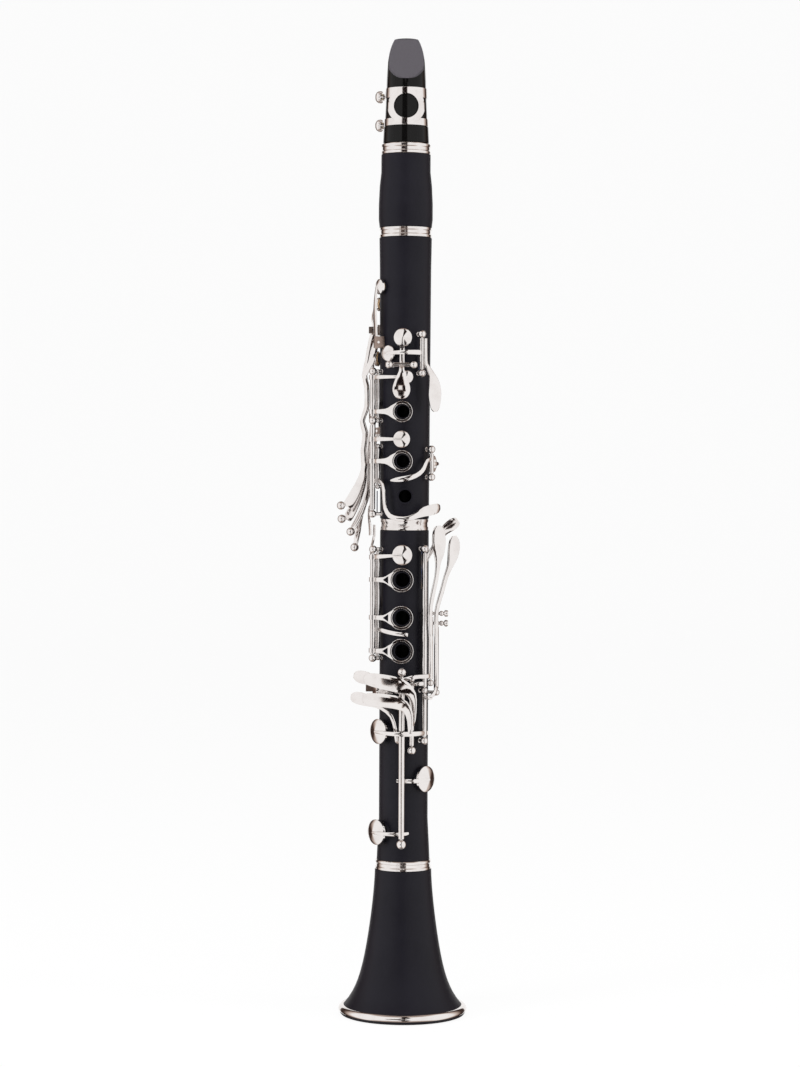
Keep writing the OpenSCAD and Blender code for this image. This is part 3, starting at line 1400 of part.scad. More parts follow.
module needle_springs() {
    color("#6f7580") {
        spring(upper_post_list[2], 15);
        spring(upper_post_list[6], 11);
        spring(lower_post_list[2], -26);
        spring(lower_post_list[10], 28);
    }
}

mouthpiece();
reed();
ligature();
ligature_screw_upper();
ligature_screw_lower();
barrel();
barrel_rings();
upper_joint();
lower_joint();
middle_ring();
tenon_corks();
bell();
bell_rings();
thumb_rest();
thumb_rest_screws();
bore_tubes();
upper_posts();
lower_posts();
upper_rods();
lower_rods();
needle_springs();
side_key_saddles();
register_key();
register_pad();
thumb_ring_key();
first_ring_key();
first_ring_pad();
second_ring_key();
second_ring_pad();
throat_a_key();
throat_a_pad();
throat_gsharp_key();
throat_gsharp_pad();
upper_trill_key();
upper_trill_pad();
lower_trill_key();
lower_trill_pad();
side_bflat_key();
side_bflat_pad();
side_fsharp_key();
side_fsharp_pad();
csharp_gsharp_key();
csharp_gsharp_pad();
sliver_eflat_key();
sliver_eflat_pad();
lower_ring_key();
lower_ring_pad();
fork_b_key();
fork_b_pad();
left_fsharp_lever();
left_e_lever();
left_f_lever();
low_e_key();
low_e_pad();
low_f_key();
low_f_pad();
low_fsharp_key();
low_fsharp_pad();
low_aflat_key();
low_aflat_pad();
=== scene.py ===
"""Looks of a clarinet on its bell: finishes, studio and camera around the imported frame."""

import json
import logging
import math
from dataclasses import dataclass, field
from enum import Enum
from typing import Dict, List, Optional, Sequence, Tuple, Union

import bpy
from mathutils import Euler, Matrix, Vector


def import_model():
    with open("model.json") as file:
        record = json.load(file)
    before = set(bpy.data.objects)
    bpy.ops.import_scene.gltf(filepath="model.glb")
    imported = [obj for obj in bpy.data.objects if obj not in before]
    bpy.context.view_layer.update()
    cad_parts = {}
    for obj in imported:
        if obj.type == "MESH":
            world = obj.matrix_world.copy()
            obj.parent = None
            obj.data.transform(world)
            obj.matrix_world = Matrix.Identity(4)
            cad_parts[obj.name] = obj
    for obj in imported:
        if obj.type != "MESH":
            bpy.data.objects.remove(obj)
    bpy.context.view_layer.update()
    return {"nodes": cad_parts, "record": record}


LOG = logging.getLogger("clarinet")
Colour = Tuple[float, float, float]
Point = Tuple[float, float, float]
Span = Tuple[float, float]
Box = Tuple[Span, Span, Span]
Value = Union[float, "Sock"]

NOISE_MIDDLE = 0.5
GLOSS_IOR = 1.5


class Sock:
    """A shader socket that takes part in Python expressions."""

    def __init__(self, tree: bpy.types.NodeTree, socket: bpy.types.NodeSocket) -> None:
        """Wraps a socket of a tree."""
        self.tree = tree
        self.socket = socket

    def _math(self, operation: str, other: Value, flip: bool = False) -> "Sock":
        """Adds a Math node.

        Args:
            operation: the Math node's operation.
            other: the second number or socket.
            flip: puts the other value first.

        Returns:
            The node's output.
        """
        node = self.tree.nodes.new("ShaderNodeMath")
        node.operation = operation
        pair = [other, self] if flip else [self, other]
        for slot, value in zip(node.inputs, pair):
            if isinstance(value, Sock):
                self.tree.links.new(value.socket, slot)
            else:
                slot.default_value = value
        return Sock(self.tree, node.outputs[0])

    def __add__(self, other: Value) -> "Sock":
        """Sum."""
        return self._math("ADD", other)

    __radd__ = __add__

    def __mul__(self, other: Value) -> "Sock":
        """Product."""
        return self._math("MULTIPLY", other)

    __rmul__ = __mul__

    def __sub__(self, other: Value) -> "Sock":
        """Difference."""
        return self._math("SUBTRACT", other)

    def __rsub__(self, other: Value) -> "Sock":
        """Difference with the socket second."""
        return self._math("SUBTRACT", other, True)

    def __truediv__(self, other: Value) -> "Sock":
        """Quotient."""
        return self._math("DIVIDE", other)

    def __gt__(self, other: Value) -> "Sock":
        """One where the socket is the greater."""
        return self._math("GREATER_THAN", other)

    def __lt__(self, other: Value) -> "Sock":
        """One where the socket is the smaller."""
        return self._math("LESS_THAN", other)

    def __abs__(self) -> "Sock":
        """Size without sign."""
        return self._math("ABSOLUTE", 0.0)

    def turn(self, other: Value) -> "Sock":
        """Angle of the point whose height is the socket and whose reach is the other value."""
        return self._math("ARCTAN2", other)

    def arc_sine(self) -> "Sock":
        """Angle whose sine the socket is."""
        return self._math("ARCSINE", 0.0)

    def arc_cosine(self) -> "Sock":
        """Angle whose cosine the socket is."""
        return self._math("ARCCOSINE", 0.0)

    def high(self, other: Value) -> "Sock":
        """The larger of two values."""
        return self._math("MAXIMUM", other)

    def low(self, other: Value) -> "Sock":
        """The smaller of two values."""
        return self._math("MINIMUM", other)

    def ramp(self, start: float, end: float) -> "Sock":
        """Zero below start and one above end, straight in between."""
        return ((self - start) / (end - start)).high(0.0).low(1.0)


@dataclass(frozen=True)
class Grain:
    """A noise: its fineness, its smaller parts, and its stretch along each axis."""

    scale: float
    detail: float = 2.0
    rough: float = 0.5
    run: Optional[Point] = None


@dataclass(frozen=True)
class Relief:
    """A bump: its depth in metres and its strength."""

    depth: float
    strength: float


class Shader:
    """Node tree of one material, world or modifier."""

    def __init__(self, tree: bpy.types.NodeTree) -> None:
        """Empties the tree and keeps it."""
        self.tree = tree
        tree.nodes.clear()

    def node(
        self,
        kind: str,
        settings: Optional[Dict[str, object]] = None,
        output: Union[int, str] = 0,
        **inputs: object,
    ) -> Optional[Sock]:
        """Adds any node.

        Args:
            kind: the node's type.
            settings: attributes set before the sockets; "stops" fills a colour ramp.
            output: which output to return.
            **inputs: values or links by socket name, with _ for a space, or by i and a number.

        Returns:
            The wanted output, or None from a node without outputs.
        """
        made = self.tree.nodes.new(kind)
        for name, value in (settings or {}).items():
            if name == "stops":
                elements = made.color_ramp.elements
                while len(elements) < len(value):
                    elements.new(0.5)
                for element, (place, colour) in zip(elements, value):
                    element.position = place
                    element.color = (*colour, 1.0)
            else:
                setattr(made, name, value)
        for name, value in inputs.items():
            numbered = name[0] == "i" and name[1:].isdigit()
            slot = made.inputs[int(name[1:]) if numbered else name.replace("_", " ")]
            if isinstance(value, Sock):
                self.tree.links.new(value.socket, slot)
            elif slot.type == "RGBA":
                slot.default_value = (*value, 1.0)
            else:
                slot.default_value = value
        return Sock(self.tree, made.outputs[output]) if made.outputs else None

    def place(self) -> Sock:
        """Position in the object's own frame, in metres."""
        return self.node("ShaderNodeTexCoord", output="Object")

    def split(self, vector: Sock) -> Tuple[Sock, Sock, Sock]:
        """The three numbers of a vector."""
        node = self.node("ShaderNodeSeparateXYZ", Vector=vector).socket.node
        return tuple(Sock(self.tree, output) for output in node.outputs)

    def within(self, vector: Sock, box: Box) -> Sock:
        """Finds the points inside a box.

        Args:
            vector: the point.
            box: three spans in metres.

        Returns:
            One inside the box and zero outside.
        """
        inside: Optional[Sock] = None
        for part, (start, end) in zip(self.split(vector), box):
            held = (part > start) * (part < end)
            inside = held if inside is None else inside * held
        return inside

    def noise(self, place: Sock, grain: Grain) -> Sock:
        """Adds a noise.

        Args:
            place: the point it is read at.
            grain: the noise's numbers.

        Returns:
            One number, about 0.5.
        """
        if grain.run is not None:
            place = self.node("ShaderNodeVectorMath", {"operation": "MULTIPLY"}, i0=place, i1=grain.run)
        return self.node(
            "ShaderNodeTexNoise",
            output="Fac",
            Vector=place,
            Scale=grain.scale,
            Detail=grain.detail,
            Roughness=grain.rough,
        )

    def blend(self, factor: Value, first: Union[Colour, Sock], second: Union[Colour, Sock]) -> Sock:
        """A mix of two colours."""
        return self.node("ShaderNodeMix", {"data_type": "RGBA"}, 2, i0=factor, i6=first, i7=second)

    def bump(self, height: Sock, relief: Relief, normal: Optional[Sock] = None) -> Sock:
        """Adds a bump.

        Args:
            height: the height in 0 to 1.
            relief: its depth and strength.
            normal: the normal that it stands on.

        Returns:
            The bumped normal.
        """
        links = {"Height": height, "Distance": relief.depth, "Strength": relief.strength}
        if normal is not None:
            links["Normal"] = normal
        return self.node("ShaderNodeBump", output="Normal", **links)

    def rays(self) -> Tuple[Sock, Sock, Sock]:
        """Camera, glossy and transmission rays, each one or zero."""
        kinds = ("Is Camera Ray", "Is Glossy Ray", "Is Transmission Ray")
        return tuple(self.node("ShaderNodeLightPath", output=kind) for kind in kinds)

    def surface(self, **inputs: object) -> Sock:
        """A surface shader from its sockets' values or links."""
        return self.node("ShaderNodeBsdfPrincipled", **inputs)

    def finish(self, result: Sock, target: str = "ShaderNodeOutputMaterial") -> None:
        """Links the result to a new output node."""
        self.node(target, i0=result)


@dataclass(frozen=True)
class Finish:
    """A finish that can make its material."""

    name: str

    def shade(self, shader: Shader) -> Sock:
        """Builds the nodes and returns the shader.

        Args:
            shader: the tree to build in.

        Returns:
            The closing shader socket.
        """
        raise NotImplementedError

    def material(self) -> bpy.types.Material:
        """Makes the material once.

        Returns:
            The material, found by its name if it is there.
        """
        found = bpy.data.materials.get(self.name)
        if found:
            return found
        made = bpy.data.materials.new(self.name)
        made.use_nodes = True
        shader = Shader(made.node_tree)
        shader.finish(self.shade(shader))
        return made


@dataclass(frozen=True)
class MouldedBlack(Finish):
    """Satin black body with a fine brushed grain along its length."""

    colour: Colour = (0.0034, 0.0030, 0.0062)
    worn: Colour = (0.0080, 0.0074, 0.0120)
    grain: Grain = Grain(2600.0, 3.0, 0.6, (1.0, 1.0, 0.05))
    grain_worn: float = 0.2
    grain_rough: float = 0.12
    cloud: Grain = Grain(38.0, 4.0)
    cloud_span: Span = (0.35, 0.75)
    cloud_worn: float = 0.6
    cloud_rough: float = 0.1
    rough: float = 0.46
    relief: Relief = Relief(0.00004, 0.35)
    specular: float = 0.22

    def shade(self, shader: Shader) -> Sock:
        """Fine lengthwise grain, faint clouding and a soft sheen.

        Args:
            shader: the tree to build in.

        Returns:
            The closing shader socket.
        """
        place = shader.place()
        grain = shader.noise(place, self.grain)
        cloud = shader.noise(place, self.cloud)
        worn = cloud.ramp(*self.cloud_span) * self.cloud_worn + grain * self.grain_worn
        rough = self.rough + (grain - NOISE_MIDDLE) * self.grain_rough
        return shader.surface(
            Base_Color=shader.blend(worn, self.colour, self.worn),
            Roughness=rough + (cloud - NOISE_MIDDLE) * self.cloud_rough,
            Normal=shader.bump(grain, self.relief),
            IOR=GLOSS_IOR,
            Specular_IOR_Level=self.specular,
        )


@dataclass(frozen=True)
class PolishedBlack(Finish):
    """Polished black mouthpiece with a dull worn patch on the beak.

    The patch stands above an edge that is lowest in the middle, at the foot, and rises to the cheeks.
    """

    colour: Colour = (0.0030, 0.0028, 0.0028)
    worn: Colour = (0.065, 0.060, 0.069)
    cheek: float = 0.0110
    foot: float = 0.6139
    rise: float = 0.0058
    edge_span: Span = (-0.00015, 0.00025)
    side_span: Span = (1.02, 1.06)
    front_span: Span = (-0.0095, -0.0088)
    wave: Grain = Grain(160.0, 3.0)
    wave_height: float = 0.0004
    scratch: Grain = Grain(900.0, 4.0, 0.7, (1.0, 1.0, 0.2))
    scratch_worn: float = 0.4
    scratch_rough: float = 0.05
    patch_worn: float = 0.78
    patch_rough: float = 0.50
    rough: float = 0.09
    relief: Relief = Relief(0.00005, 0.5)
    specular: float = 0.2

    def shade(self, shader: Shader) -> Sock:
        """Gloss below, a soft-edged dull oval on the slope of the beak.

        Args:
            shader: the tree to build in.

        Returns:
            The closing shader socket.
        """
        place = shader.place()
        x, y, z = shader.split(place)
        wave = (shader.noise(place, self.wave) - NOISE_MIDDLE) * self.wave_height
        across = abs(x) / self.cheek
        edge = self.foot + across * across * across * self.rise + wave
        mask = (z - edge).ramp(*self.edge_span) * (1.0 - across.ramp(*self.side_span))
        mask = mask * (y * -1.0).ramp(*self.front_span)
        scratch = shader.noise(place, self.scratch)
        worn = mask * (self.patch_worn + scratch * self.scratch_worn)
        rough = self.rough + mask * self.patch_rough
        return shader.surface(
            Base_Color=shader.blend(worn, self.colour, self.worn),
            Roughness=rough + (scratch - NOISE_MIDDLE) * self.scratch_rough,
            Normal=shader.bump(scratch * mask, self.relief),
            IOR=GLOSS_IOR,
            Specular_IOR_Level=self.specular,
        )


@dataclass(frozen=True)
class NickelPlate(Finish):
    """Polished nickel plate with soft edges, faint handling marks and a warm tint.

    An optional box, in metres, marks where a dark, dull colour that is not metal takes the place of the
    plate.
    """

    colour: Colour = (0.85, 0.825, 0.815)
    dull: Colour = (0.72, 0.675, 0.655)
    cloud: Grain = Grain(120.0, 4.0)
    cloud_span: Span = (0.45, 0.8)
    cloud_dull: float = 0.7
    haze_span: Span = (0.4, 0.8)
    haze_rough: float = 0.07
    rub: Grain = Grain(1500.0)
    rub_rough: float = 0.04
    rough: float = 0.07
    relief: Relief = Relief(0.000012, 0.15)
    edge: float = 0.00012
    edge_samples: int = 6
    stop: Optional[Box] = None
    dark_patch_colour: Colour = (0.050, 0.030, 0.022)
    dark_patch_rough: float = 0.5

    def shade(self, shader: Shader) -> Sock:
        """Clouded polish over softened edges.

        Args:
            shader: the tree to build in.

        Returns:
            The closing shader socket.
        """
        place = shader.place()
        cloud = shader.noise(place, self.cloud)
        rub = shader.noise(place, self.rub)
        colour = shader.blend(cloud.ramp(*self.cloud_span) * self.cloud_dull, self.colour, self.dull)
        metal: Value = 1.0
        rough = self.rough + cloud.ramp(*self.haze_span) * self.haze_rough
        rough = rough + (rub - NOISE_MIDDLE) * self.rub_rough
        # inside the box a dark, dull colour that is not metal replaces the plate
        if self.stop is not None:
            inside = shader.within(place, self.stop)
            colour = shader.blend(inside, colour, self.dark_patch_colour)
            rough = rough + inside * self.dark_patch_rough
            metal = 1.0 - inside
        return shader.surface(
            Base_Color=colour,
            Metallic=metal,
            Roughness=rough,
            Normal=shader.bump(rub, self.relief, self.rounded(shader)),
        )

    def rounded(self, shader: Shader) -> Sock:
        """Normal with the edges rounded over."""
        return shader.node("ShaderNodeBevel", {"samples": self.edge_samples}, Radius=self.edge)


@dataclass(frozen=True)
class Skin(Finish):
    """Tan skin over the pads."""

    colour: Colour = (0.56, 0.37, 0.21)
    dark: Colour = (0.30, 0.17, 0.09)
    mottle: Grain = Grain(420.0, 5.0, 0.6)
    mottle_span: Span = (0.35, 0.7)
    mottle_rough: float = 0.2
    rough: float = 0.55
    creases: float = 900.0
    relief: Relief = Relief(0.00008, 0.4)

    def shade(self, shader: Shader) -> Sock:
        """Mottled skin with fine creases.

        Args:
            shader: the tree to build in.

        Returns:
            The closing shader socket.
        """
        place = shader.place()
        mottle = shader.noise(place, self.mottle)
        edges = {"feature": "DISTANCE_TO_EDGE"}
        crease = shader.node("ShaderNodeTexVoronoi", edges, Vector=place, Scale=self.creases)
        return shader.surface(
            Base_Color=shader.blend(mottle.ramp(*self.mottle_span), self.colour, self.dark),
            Roughness=self.rough + (mottle - NOISE_MIDDLE) * self.mottle_rough,
            Normal=shader.bump(crease, self.relief),
        )


@dataclass(frozen=True)
class CorkFinish(Finish):
    """Waxed cork on the tenons."""

    colour: Colour = (0.50, 0.31, 0.15)
    dark: Colour = (0.22, 0.12, 0.06)
    speck: Grain = Grain(900.0, 6.0, 0.7)
    speck_span: Span = (0.45, 0.65)
    speck_rough: float = 0.2
    rough: float = 0.6
    relief: Relief = Relief(0.00012, 0.6)

    def shade(self, shader: Shader) -> Sock:
        """Speckled cork.

        Args:
            shader: the tree to build in.

        Returns:
            The closing shader socket.
        """
        speck = shader.noise(shader.place(), self.speck)
        return shader.surface(
            Base_Color=shader.blend(speck.ramp(*self.speck_span), self.colour, self.dark),
            Roughness=self.rough + speck * self.speck_rough,
            Normal=shader.bump(speck, self.relief),
        )


@dataclass(frozen=True)
class Cane(Finish):
    """Reed cane with fibres along its length, and bark at the back below the cut."""

    colour: Colour = (0.78, 0.62, 0.33)
    dark: Colour = (0.50, 0.34, 0.14)
    fibre: Grain = Grain(3200.0, 3.0, run=(1.0, 1.0, 0.02))
    fibre_span: Span = (0.35, 0.7)
    fibre_dark: float = 0.5
    bark_back: Span = (0.0138, 0.0141)
    bark_top: Span = (0.606, 0.612)
    bark_dark: float = 0.5
    bark_rough: float = 0.25
    rough: float = 0.62
    relief: Relief = Relief(0.00005, 0.5)

    def shade(self, shader: Shader) -> Sock:
        """Long fibres and a darker bark.

        Args:
            shader: the tree to build in.

        Returns:
            The closing shader socket.
        """
        place = shader.place()
        fibre = shader.noise(place, self.fibre)
        _, y, z = shader.split(place)
        bark = y.ramp(*self.bark_back) * (1.0 - z.ramp(*self.bark_top))
        dark = fibre.ramp(*self.fibre_span) * self.fibre_dark + bark * self.bark_dark
        return shader.surface(
            Base_Color=shader.blend(dark, self.colour, self.dark),
            Roughness=self.rough - bark * self.bark_rough,
            Normal=shader.bump(fibre, self.relief),
        )


@dataclass(frozen=True)
class BluedSteel(Finish):
    """Blued spring wire."""

    blue: Colour = (0.10, 0.13, 0.24)
    straw: Colour = (0.24, 0.20, 0.16)
    heat: Grain = Grain(90.0)
    heat_span: Span = (0.4, 0.65)
    heat_rough: float = 0.1
    rough: float = 0.3

    def shade(self, shader: Shader) -> Sock:
        """Blue-grey wire with straw-coloured patches.

        Args:
            shader: the tree to build in.

        Returns:
            The closing shader socket.
        """
        heat = shader.noise(shader.place(), self.heat)
        return shader.surface(
            Base_Color=shader.blend(heat.ramp(*self.heat_span), self.blue, self.straw),
            Metallic=1.0,
            Roughness=self.rough + heat * self.heat_rough,
        )


@dataclass(frozen=True)
class StudioPaper(Finish):
    """Pale seamless floor that shows white to the camera and keeps the shadow."""

    colour: Colour = (0.86, 0.86, 0.86)
    dark: Colour = (0.80, 0.80, 0.80)
    white: Colour = (1.0, 1.0, 1.0)
    fibre: Grain = Grain(400.0, 4.0)
    fibre_dark: float = 0.1
    rough: float = 0.9
    lift: float = 0.93

    def shade(self, shader: Shader) -> Sock:
        """Matt paper, lifted to white for the camera with the shadow kept.

        Args:
            shader: the tree to build in.

        Returns:
            The closing shader socket.
        """
        fibre = shader.noise(shader.place(), self.fibre)
        paper = shader.surface(
            Base_Color=shader.blend(fibre * self.fibre_dark, self.colour, self.dark),
            Roughness=self.rough,
        )
        white = shader.node("ShaderNodeEmission", Color=self.white, Strength=1.0)
        camera, glossy, through = shader.rays()
        seen = camera.high(glossy).high(through) * self.lift
        return shader.node("ShaderNodeMixShader", i0=seen, i1=paper, i2=white)


class Slot(Enum):
    """Finish of each material slot in the record."""

    BODY = "body_black"
    MOUTHPIECE = "mouthpiece_black"
    KEYS = "plated_keys"
    FITTINGS = "plated_fittings"
    PADS = "pad_skin"
    CORK = "cork"
    CANE = "cane"
    SPRINGS = "spring_steel"

    def finish(self) -> Finish:
        """Finds the slot's finish.

        Returns:
            The finish that the slot wears.
        """
        return {
            Slot.BODY: MouldedBlack("moulded_black"),
            Slot.MOUTHPIECE: PolishedBlack("polished_black"),
            Slot.KEYS: NickelPlate("nickel_keys"),
            Slot.FITTINGS: NickelPlate("nickel_fittings", rough=0.08),
            Slot.PADS: Skin("pad_skin"),
            Slot.CORK: CorkFinish("tenon_cork"),
            Slot.CANE: Cane("reed_cane"),
            Slot.SPRINGS: BluedSteel("blued_steel"),
        }[self]


@dataclass
class SmoothSkin:
    """Modifier that joins a node's faces and shades its curves smoothly."""

    angle: float = 38.0
    weld: float = 0.000004
    name: str = "smooth_skin"

    def group(self) -> bpy.types.NodeTree:
        """Makes the geometry node group once.

        Returns:
            The group, found by its name if it is there.
        """
        key = f"{self.name}_{self.angle:.0f}"
        found = bpy.data.node_groups.get(key)
        if found:
            return found
        tree = bpy.data.node_groups.new(key, "GeometryNodeTree")
        for way in ("INPUT", "OUTPUT"):
            tree.interface.new_socket("Geometry", in_out=way, socket_type="NodeSocketGeometry")
        build = Shader(tree)
        mesh = build.node("NodeGroupInput")
        mesh = build.node("GeometryNodeRemoveAttribute", Geometry=mesh, Name="custom_normal")
        mesh = build.node("GeometryNodeMergeByDistance", Geometry=mesh, Distance=self.weld)
        mesh = build.node("GeometryNodeSetShadeSmooth", {"domain": "FACE"}, Geometry=mesh)
        bend = build.node("GeometryNodeInputMeshEdgeAngle", output="Unsigned Angle")
        less = {"data_type": "FLOAT", "operation": "LESS_THAN"}
        flat = build.node("FunctionNodeCompare", less, i0=bend, i1=math.radians(self.angle))
        edges = {"domain": "EDGE"}
        mesh = build.node("GeometryNodeSetShadeSmooth", edges, Geometry=mesh, Shade_Smooth=flat)
        build.finish(mesh, "NodeGroupOutput")
        return tree

    def apply(self, target: bpy.types.Object) -> None:
        """Adds the modifier to an object."""
        modifier = target.modifiers.new(self.name, "NODES")
        modifier.node_group = self.group()


@dataclass
class FrameNodes:
    """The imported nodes, dressed by slot."""

    nodes: Dict[str, bpy.types.Object]
    record: dict
    # box on the low E key where a dark, dull patch replaces the plate
    dark_patch_box: Box = ((-0.0260, -0.0190), (-0.0200, -0.0165), (0.2130, 0.2186))
    # painted shade: the saddles wear a darker, warmer copy of the nickel plate
    saddle_painted_shade: Colour = (0.42, 0.34, 0.30)
    saddle_painted_shade_dull: Colour = (0.26, 0.18, 0.15)
    saddle_rough: float = 0.24
    skin: SmoothSkin = field(default_factory=SmoothSkin)

    def dress(self) -> Dict[str, str]:
        """Gives every node its finish and its smooth shading.

        Returns:
            The name of each node's finish.
        """
        slots = {row["node"]: Slot(row["material_slot"]) for row in self.record["subparts"]}
        special = self.special()
        dressed: Dict[str, str] = {}
        for name, piece in self.nodes.items():
            finish = special.get(name, slots[name].finish())
            piece.data.materials.clear()
            piece.data.materials.append(finish.material())
            self.skin.apply(piece)
            dressed[name] = finish.name
        return dressed

    def special(self) -> Dict[str, Finish]:
        """Finds the finishes of the nodes that differ from the rest of their slot.

        Returns:
            A finish by the node's name.
        """
        # painted shade: the saddles are a darker, brown copy of the nickel plate
        saddles_painted_shade = NickelPlate(
            "nickel_saddles_painted_shade", colour=self.saddle_painted_shade, dull=self.saddle_painted_shade_dull, rough=self.saddle_rough
        )
        return {
            "side_key_saddles": saddles_painted_shade,
            "low_e_key": NickelPlate("nickel_low_e", stop=self.dark_patch_box),
        }


@dataclass(frozen=True)
class Gap:
    """A dark gap between the white walls, in degrees of bearing and height."""

    middle: float
    half: float
    low: float
    high: float
    soft: float = 1.5

    def seen(self, bearing: Sock, level: Sock) -> Sock:
        """How much of the gap a direction sees.

        Args:
            bearing: the direction's bearing in radians, right of the front.
            level: its height above the horizon in radians.

        Returns:
            One inside the gap and zero outside.
        """
        soft = math.radians(self.soft)
        half, low, high = (math.radians(each) for each in (self.half, self.low, self.high))
        across = 1.0 - abs(bearing - math.radians(self.middle)).ramp(half, half + soft)
        above = level.ramp(low - soft / 2, low + soft / 2)
        return across * above * (1.0 - level.ramp(high, high + soft))


@dataclass(frozen=True)
class SoftBox:
    """A rectangular lamp: where it stands, what it faces, its width and height, and its watts."""

    name: str
    spot: Point
    aim: Point
    size: Span
    power: float

    def hang(self) -> bpy.types.Object:
        """Adds the lamp, which the plating does not mirror.

        Returns:
            The lamp.
        """
        data = bpy.data.lights.new(self.name, "AREA")
        data.shape = "RECTANGLE"
        data.size, data.size_y = self.size
        data.energy = self.power
        made = bpy.data.objects.new(self.name, data)
        made.location = self.spot
        facing = Vector(self.aim) - Vector(self.spot)
        made.rotation_euler = facing.to_track_quat("-Z", "Y").to_euler()
        made.visible_glossy = False
        bpy.context.scene.collection.objects.link(made)
        return made


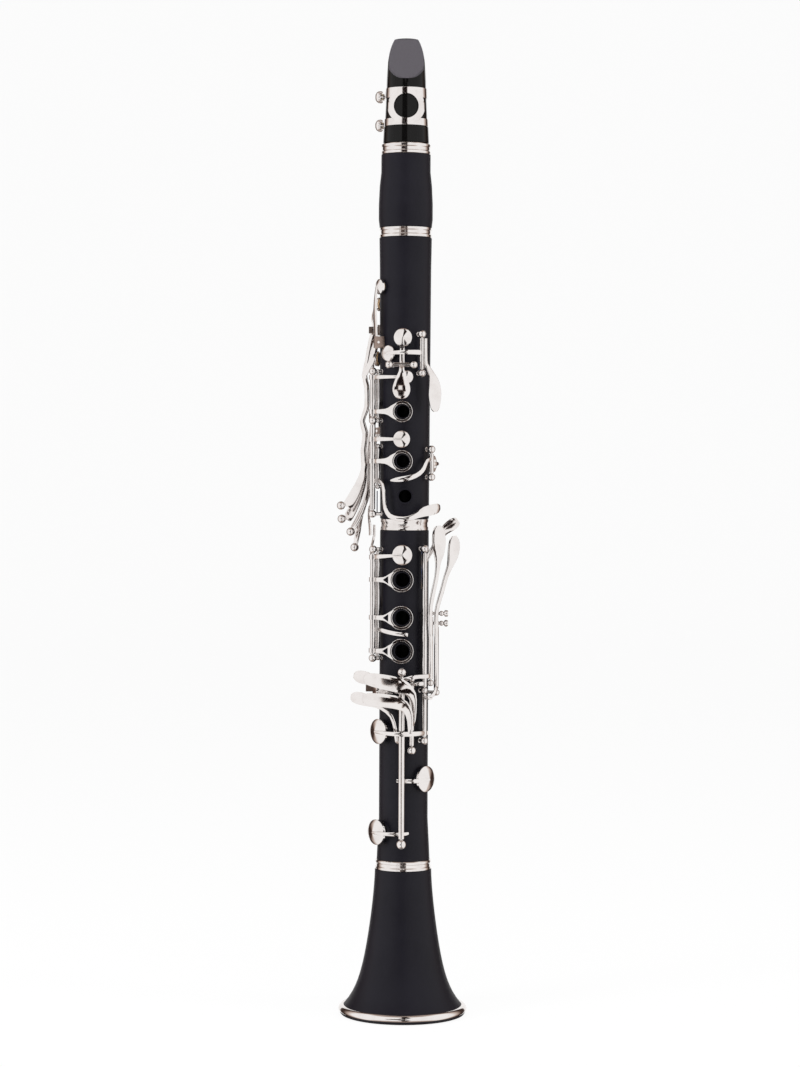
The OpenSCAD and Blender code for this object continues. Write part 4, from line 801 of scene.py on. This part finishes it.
@dataclass
class Studio:
    """Seamless floor, soft boxes, world and camera.

    Lengths are in metres. Tilt and roll are in degrees, the angles of the ring and the poles in radians.
    Fill is the world's strength as plain light. The shades run from a white wall to the depth of a gap.
    The ring is a dark band round the object's back half, and the poles are straight up and down.
    """

    eye: Point = (-0.0031, -1.85, 0.361)
    tilt: float = 1.361
    roll: float = -0.24
    lens: float = 94.9
    sensor: float = 36.0
    clip: Span = (0.05, 50.0)
    floor: float = 4.5
    floor_drop: float = 0.0003
    wall: float = 3.6
    cove: float = 0.6
    cove_steps: int = 8
    wall_top: float = 3.0
    boxes: Tuple[SoftBox, ...] = (
        SoftBox("left_box", (-1.3, -1.0, 0.7), (0.0, 0.0, 0.33), (0.5, 1.4), 20.0),
        SoftBox("right_box", (1.5, -0.7, 0.6), (0.0, 0.0, 0.33), (0.35, 1.4), 12.0),
        SoftBox("top_box", (0.0, -0.5, 1.7), (0.0, 0.0, 0.3), (1.2, 0.8), 14.0),
    )
    fill: float = 0.55
    white: Colour = (1.0, 1.0, 1.0)
    shades: Tuple[Tuple[float, Colour], ...] = (
        (0.0, (0.98, 0.965, 0.955)),
        (0.35, (0.60, 0.49, 0.43)),
        (0.75, (0.12, 0.075, 0.06)),
        (1.0, (0.010, 0.006, 0.006)),
    )
    gaps: Tuple[Gap, ...] = (
        Gap(-8.0, 13.0, 4.3, 15.0),  # barrel rings and ligature
        Gap(-17.5, 11.5, -6.8, 3.6),  # left sides of the tubes
        Gap(0.0, 11.5, -10.5, -7.4),  # bell socket ring
        Gap(5.5, 3.0, -7.4, 4.3),  # right sides of the tubes
        Gap(-1.0, 5.0, 15.0, 27.0),  # touches that face a little up
        Gap(-1.0, 5.0, -27.0, -10.5),  # touches that face a little down
        Gap(6.5, 8.0, 27.0, 74.0),  # upper wedges of the cups
        Gap(6.5, 8.0, -74.0, -27.0),  # lower wedges of the cups
    )
    ring_start: float = math.radians(102.0)
    ring_full: float = math.radians(132.0)
    ring_end: float = math.radians(147.0)
    ring_soft: float = math.radians(1.5)
    ring_shade: float = 0.92
    pole_span: Span = (0.95, 1.15)
    pole_shade: float = 0.55

    def backdrop(self) -> bpy.types.Object:
        """Makes a floor that curves up behind the object.

        Returns:
            The floor.
        """
        rows: List[Span] = [(-self.floor, 0.0), (self.wall, 0.0)]
        for step in range(1, self.cove_steps + 1):
            turn = math.radians(90.0 * step / self.cove_steps)
            rows.append((self.wall + self.cove * math.sin(turn), self.cove - self.cove * math.cos(turn)))
        rows.append((self.wall + self.cove, self.wall_top))
        mesh = bpy.data.meshes.new("studio_floor")
        points = [(x, y, z - self.floor_drop) for y, z in rows for x in (-self.floor, self.floor)]
        faces = [(2 * i, 2 * i + 1, 2 * i + 3, 2 * i + 2) for i in range(len(rows) - 1)]
        mesh.from_pydata(points, [], faces)
        mesh.shade_smooth()
        made = bpy.data.objects.new("studio_floor", mesh)
        bpy.context.scene.collection.objects.link(made)
        made.data.materials.append(StudioPaper("studio_paper").material())
        made.visible_glossy = False
        return made

    def light(self) -> None:
        """Soft boxes at the sides and above."""
        for box in self.boxes:
            box.hang()

    def surround(self, shader: Shader) -> Sock:
        """What the plating mirrors: white walls with dark gaps and warm edges.

        Args:
            shader: the world's tree.

        Returns:
            The colour seen along a direction.
        """
        x, y, z = shader.split(shader.node("ShaderNodeTexCoord", output="Generated"))
        forward = y * -1.0
        bearing = x.turn(forward)
        level = z.arc_sine()
        opening = forward.arc_cosine()
        slit = self.gaps[0].seen(bearing, level)
        for gap in self.gaps[1:]:
            slit = slit.high(gap.seen(bearing, level))
        ring = opening.ramp(self.ring_start, self.ring_full)
        ring = ring * (1.0 - opening.ramp(self.ring_end, self.ring_end + self.ring_soft))
        poles = abs(level).ramp(*self.pole_span) * self.pole_shade
        shade = slit.high(ring * self.ring_shade).high(poles)
        return shader.node("ShaderNodeValToRGB", {"stops": self.shades}, output="Color", Fac=shade)

    def world(self) -> None:
        """White to the camera, plain as light, and white walls with gaps in the plating."""
        world = bpy.data.worlds.new("studio_world")
        bpy.context.scene.world = world
        world.use_nodes = True
        shader = Shader(world.node_tree)
        camera, glossy, through = shader.rays()
        colour = shader.blend(glossy, self.white, self.surround(shader))
        strength = camera.high(glossy).high(through) * (1.0 - self.fill) + self.fill
        made = shader.node("ShaderNodeBackground", Color=colour, Strength=strength)
        shader.finish(made, "ShaderNodeOutputWorld")

    def camera(self) -> bpy.types.Object:
        """Sets the camera in front, a little above the object's middle.

        Returns:
            The camera.
        """
        data = bpy.data.cameras.new("camera")
        data.lens = self.lens
        data.sensor_width = self.sensor
        data.clip_start, data.clip_end = self.clip
        made = bpy.data.objects.new("camera", data)
        made.location = self.eye
        made.rotation_euler = Euler((math.radians(90.0 - self.tilt), math.radians(self.roll), 0.0))
        bpy.context.scene.collection.objects.link(made)
        bpy.context.scene.camera = made
        return made


def main() -> None:
    """Dresses the frame and sets the studio."""
    logging.basicConfig(level=logging.INFO, format="%(name)s: %(message)s")
    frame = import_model()
    studio = Studio()
    studio.camera()
    bpy.context.scene.view_settings.view_transform = "Standard"
    dressed = FrameNodes(frame["nodes"], frame["record"]).dress()
    for name, finish in dressed.items():
        LOG.info("%s wears %s", name, finish)
    LOG.info("%s stands behind", studio.backdrop().name)
    studio.light()
    studio.world()
    LOG.info("studio lit")


if __name__ == "__main__":
    main()
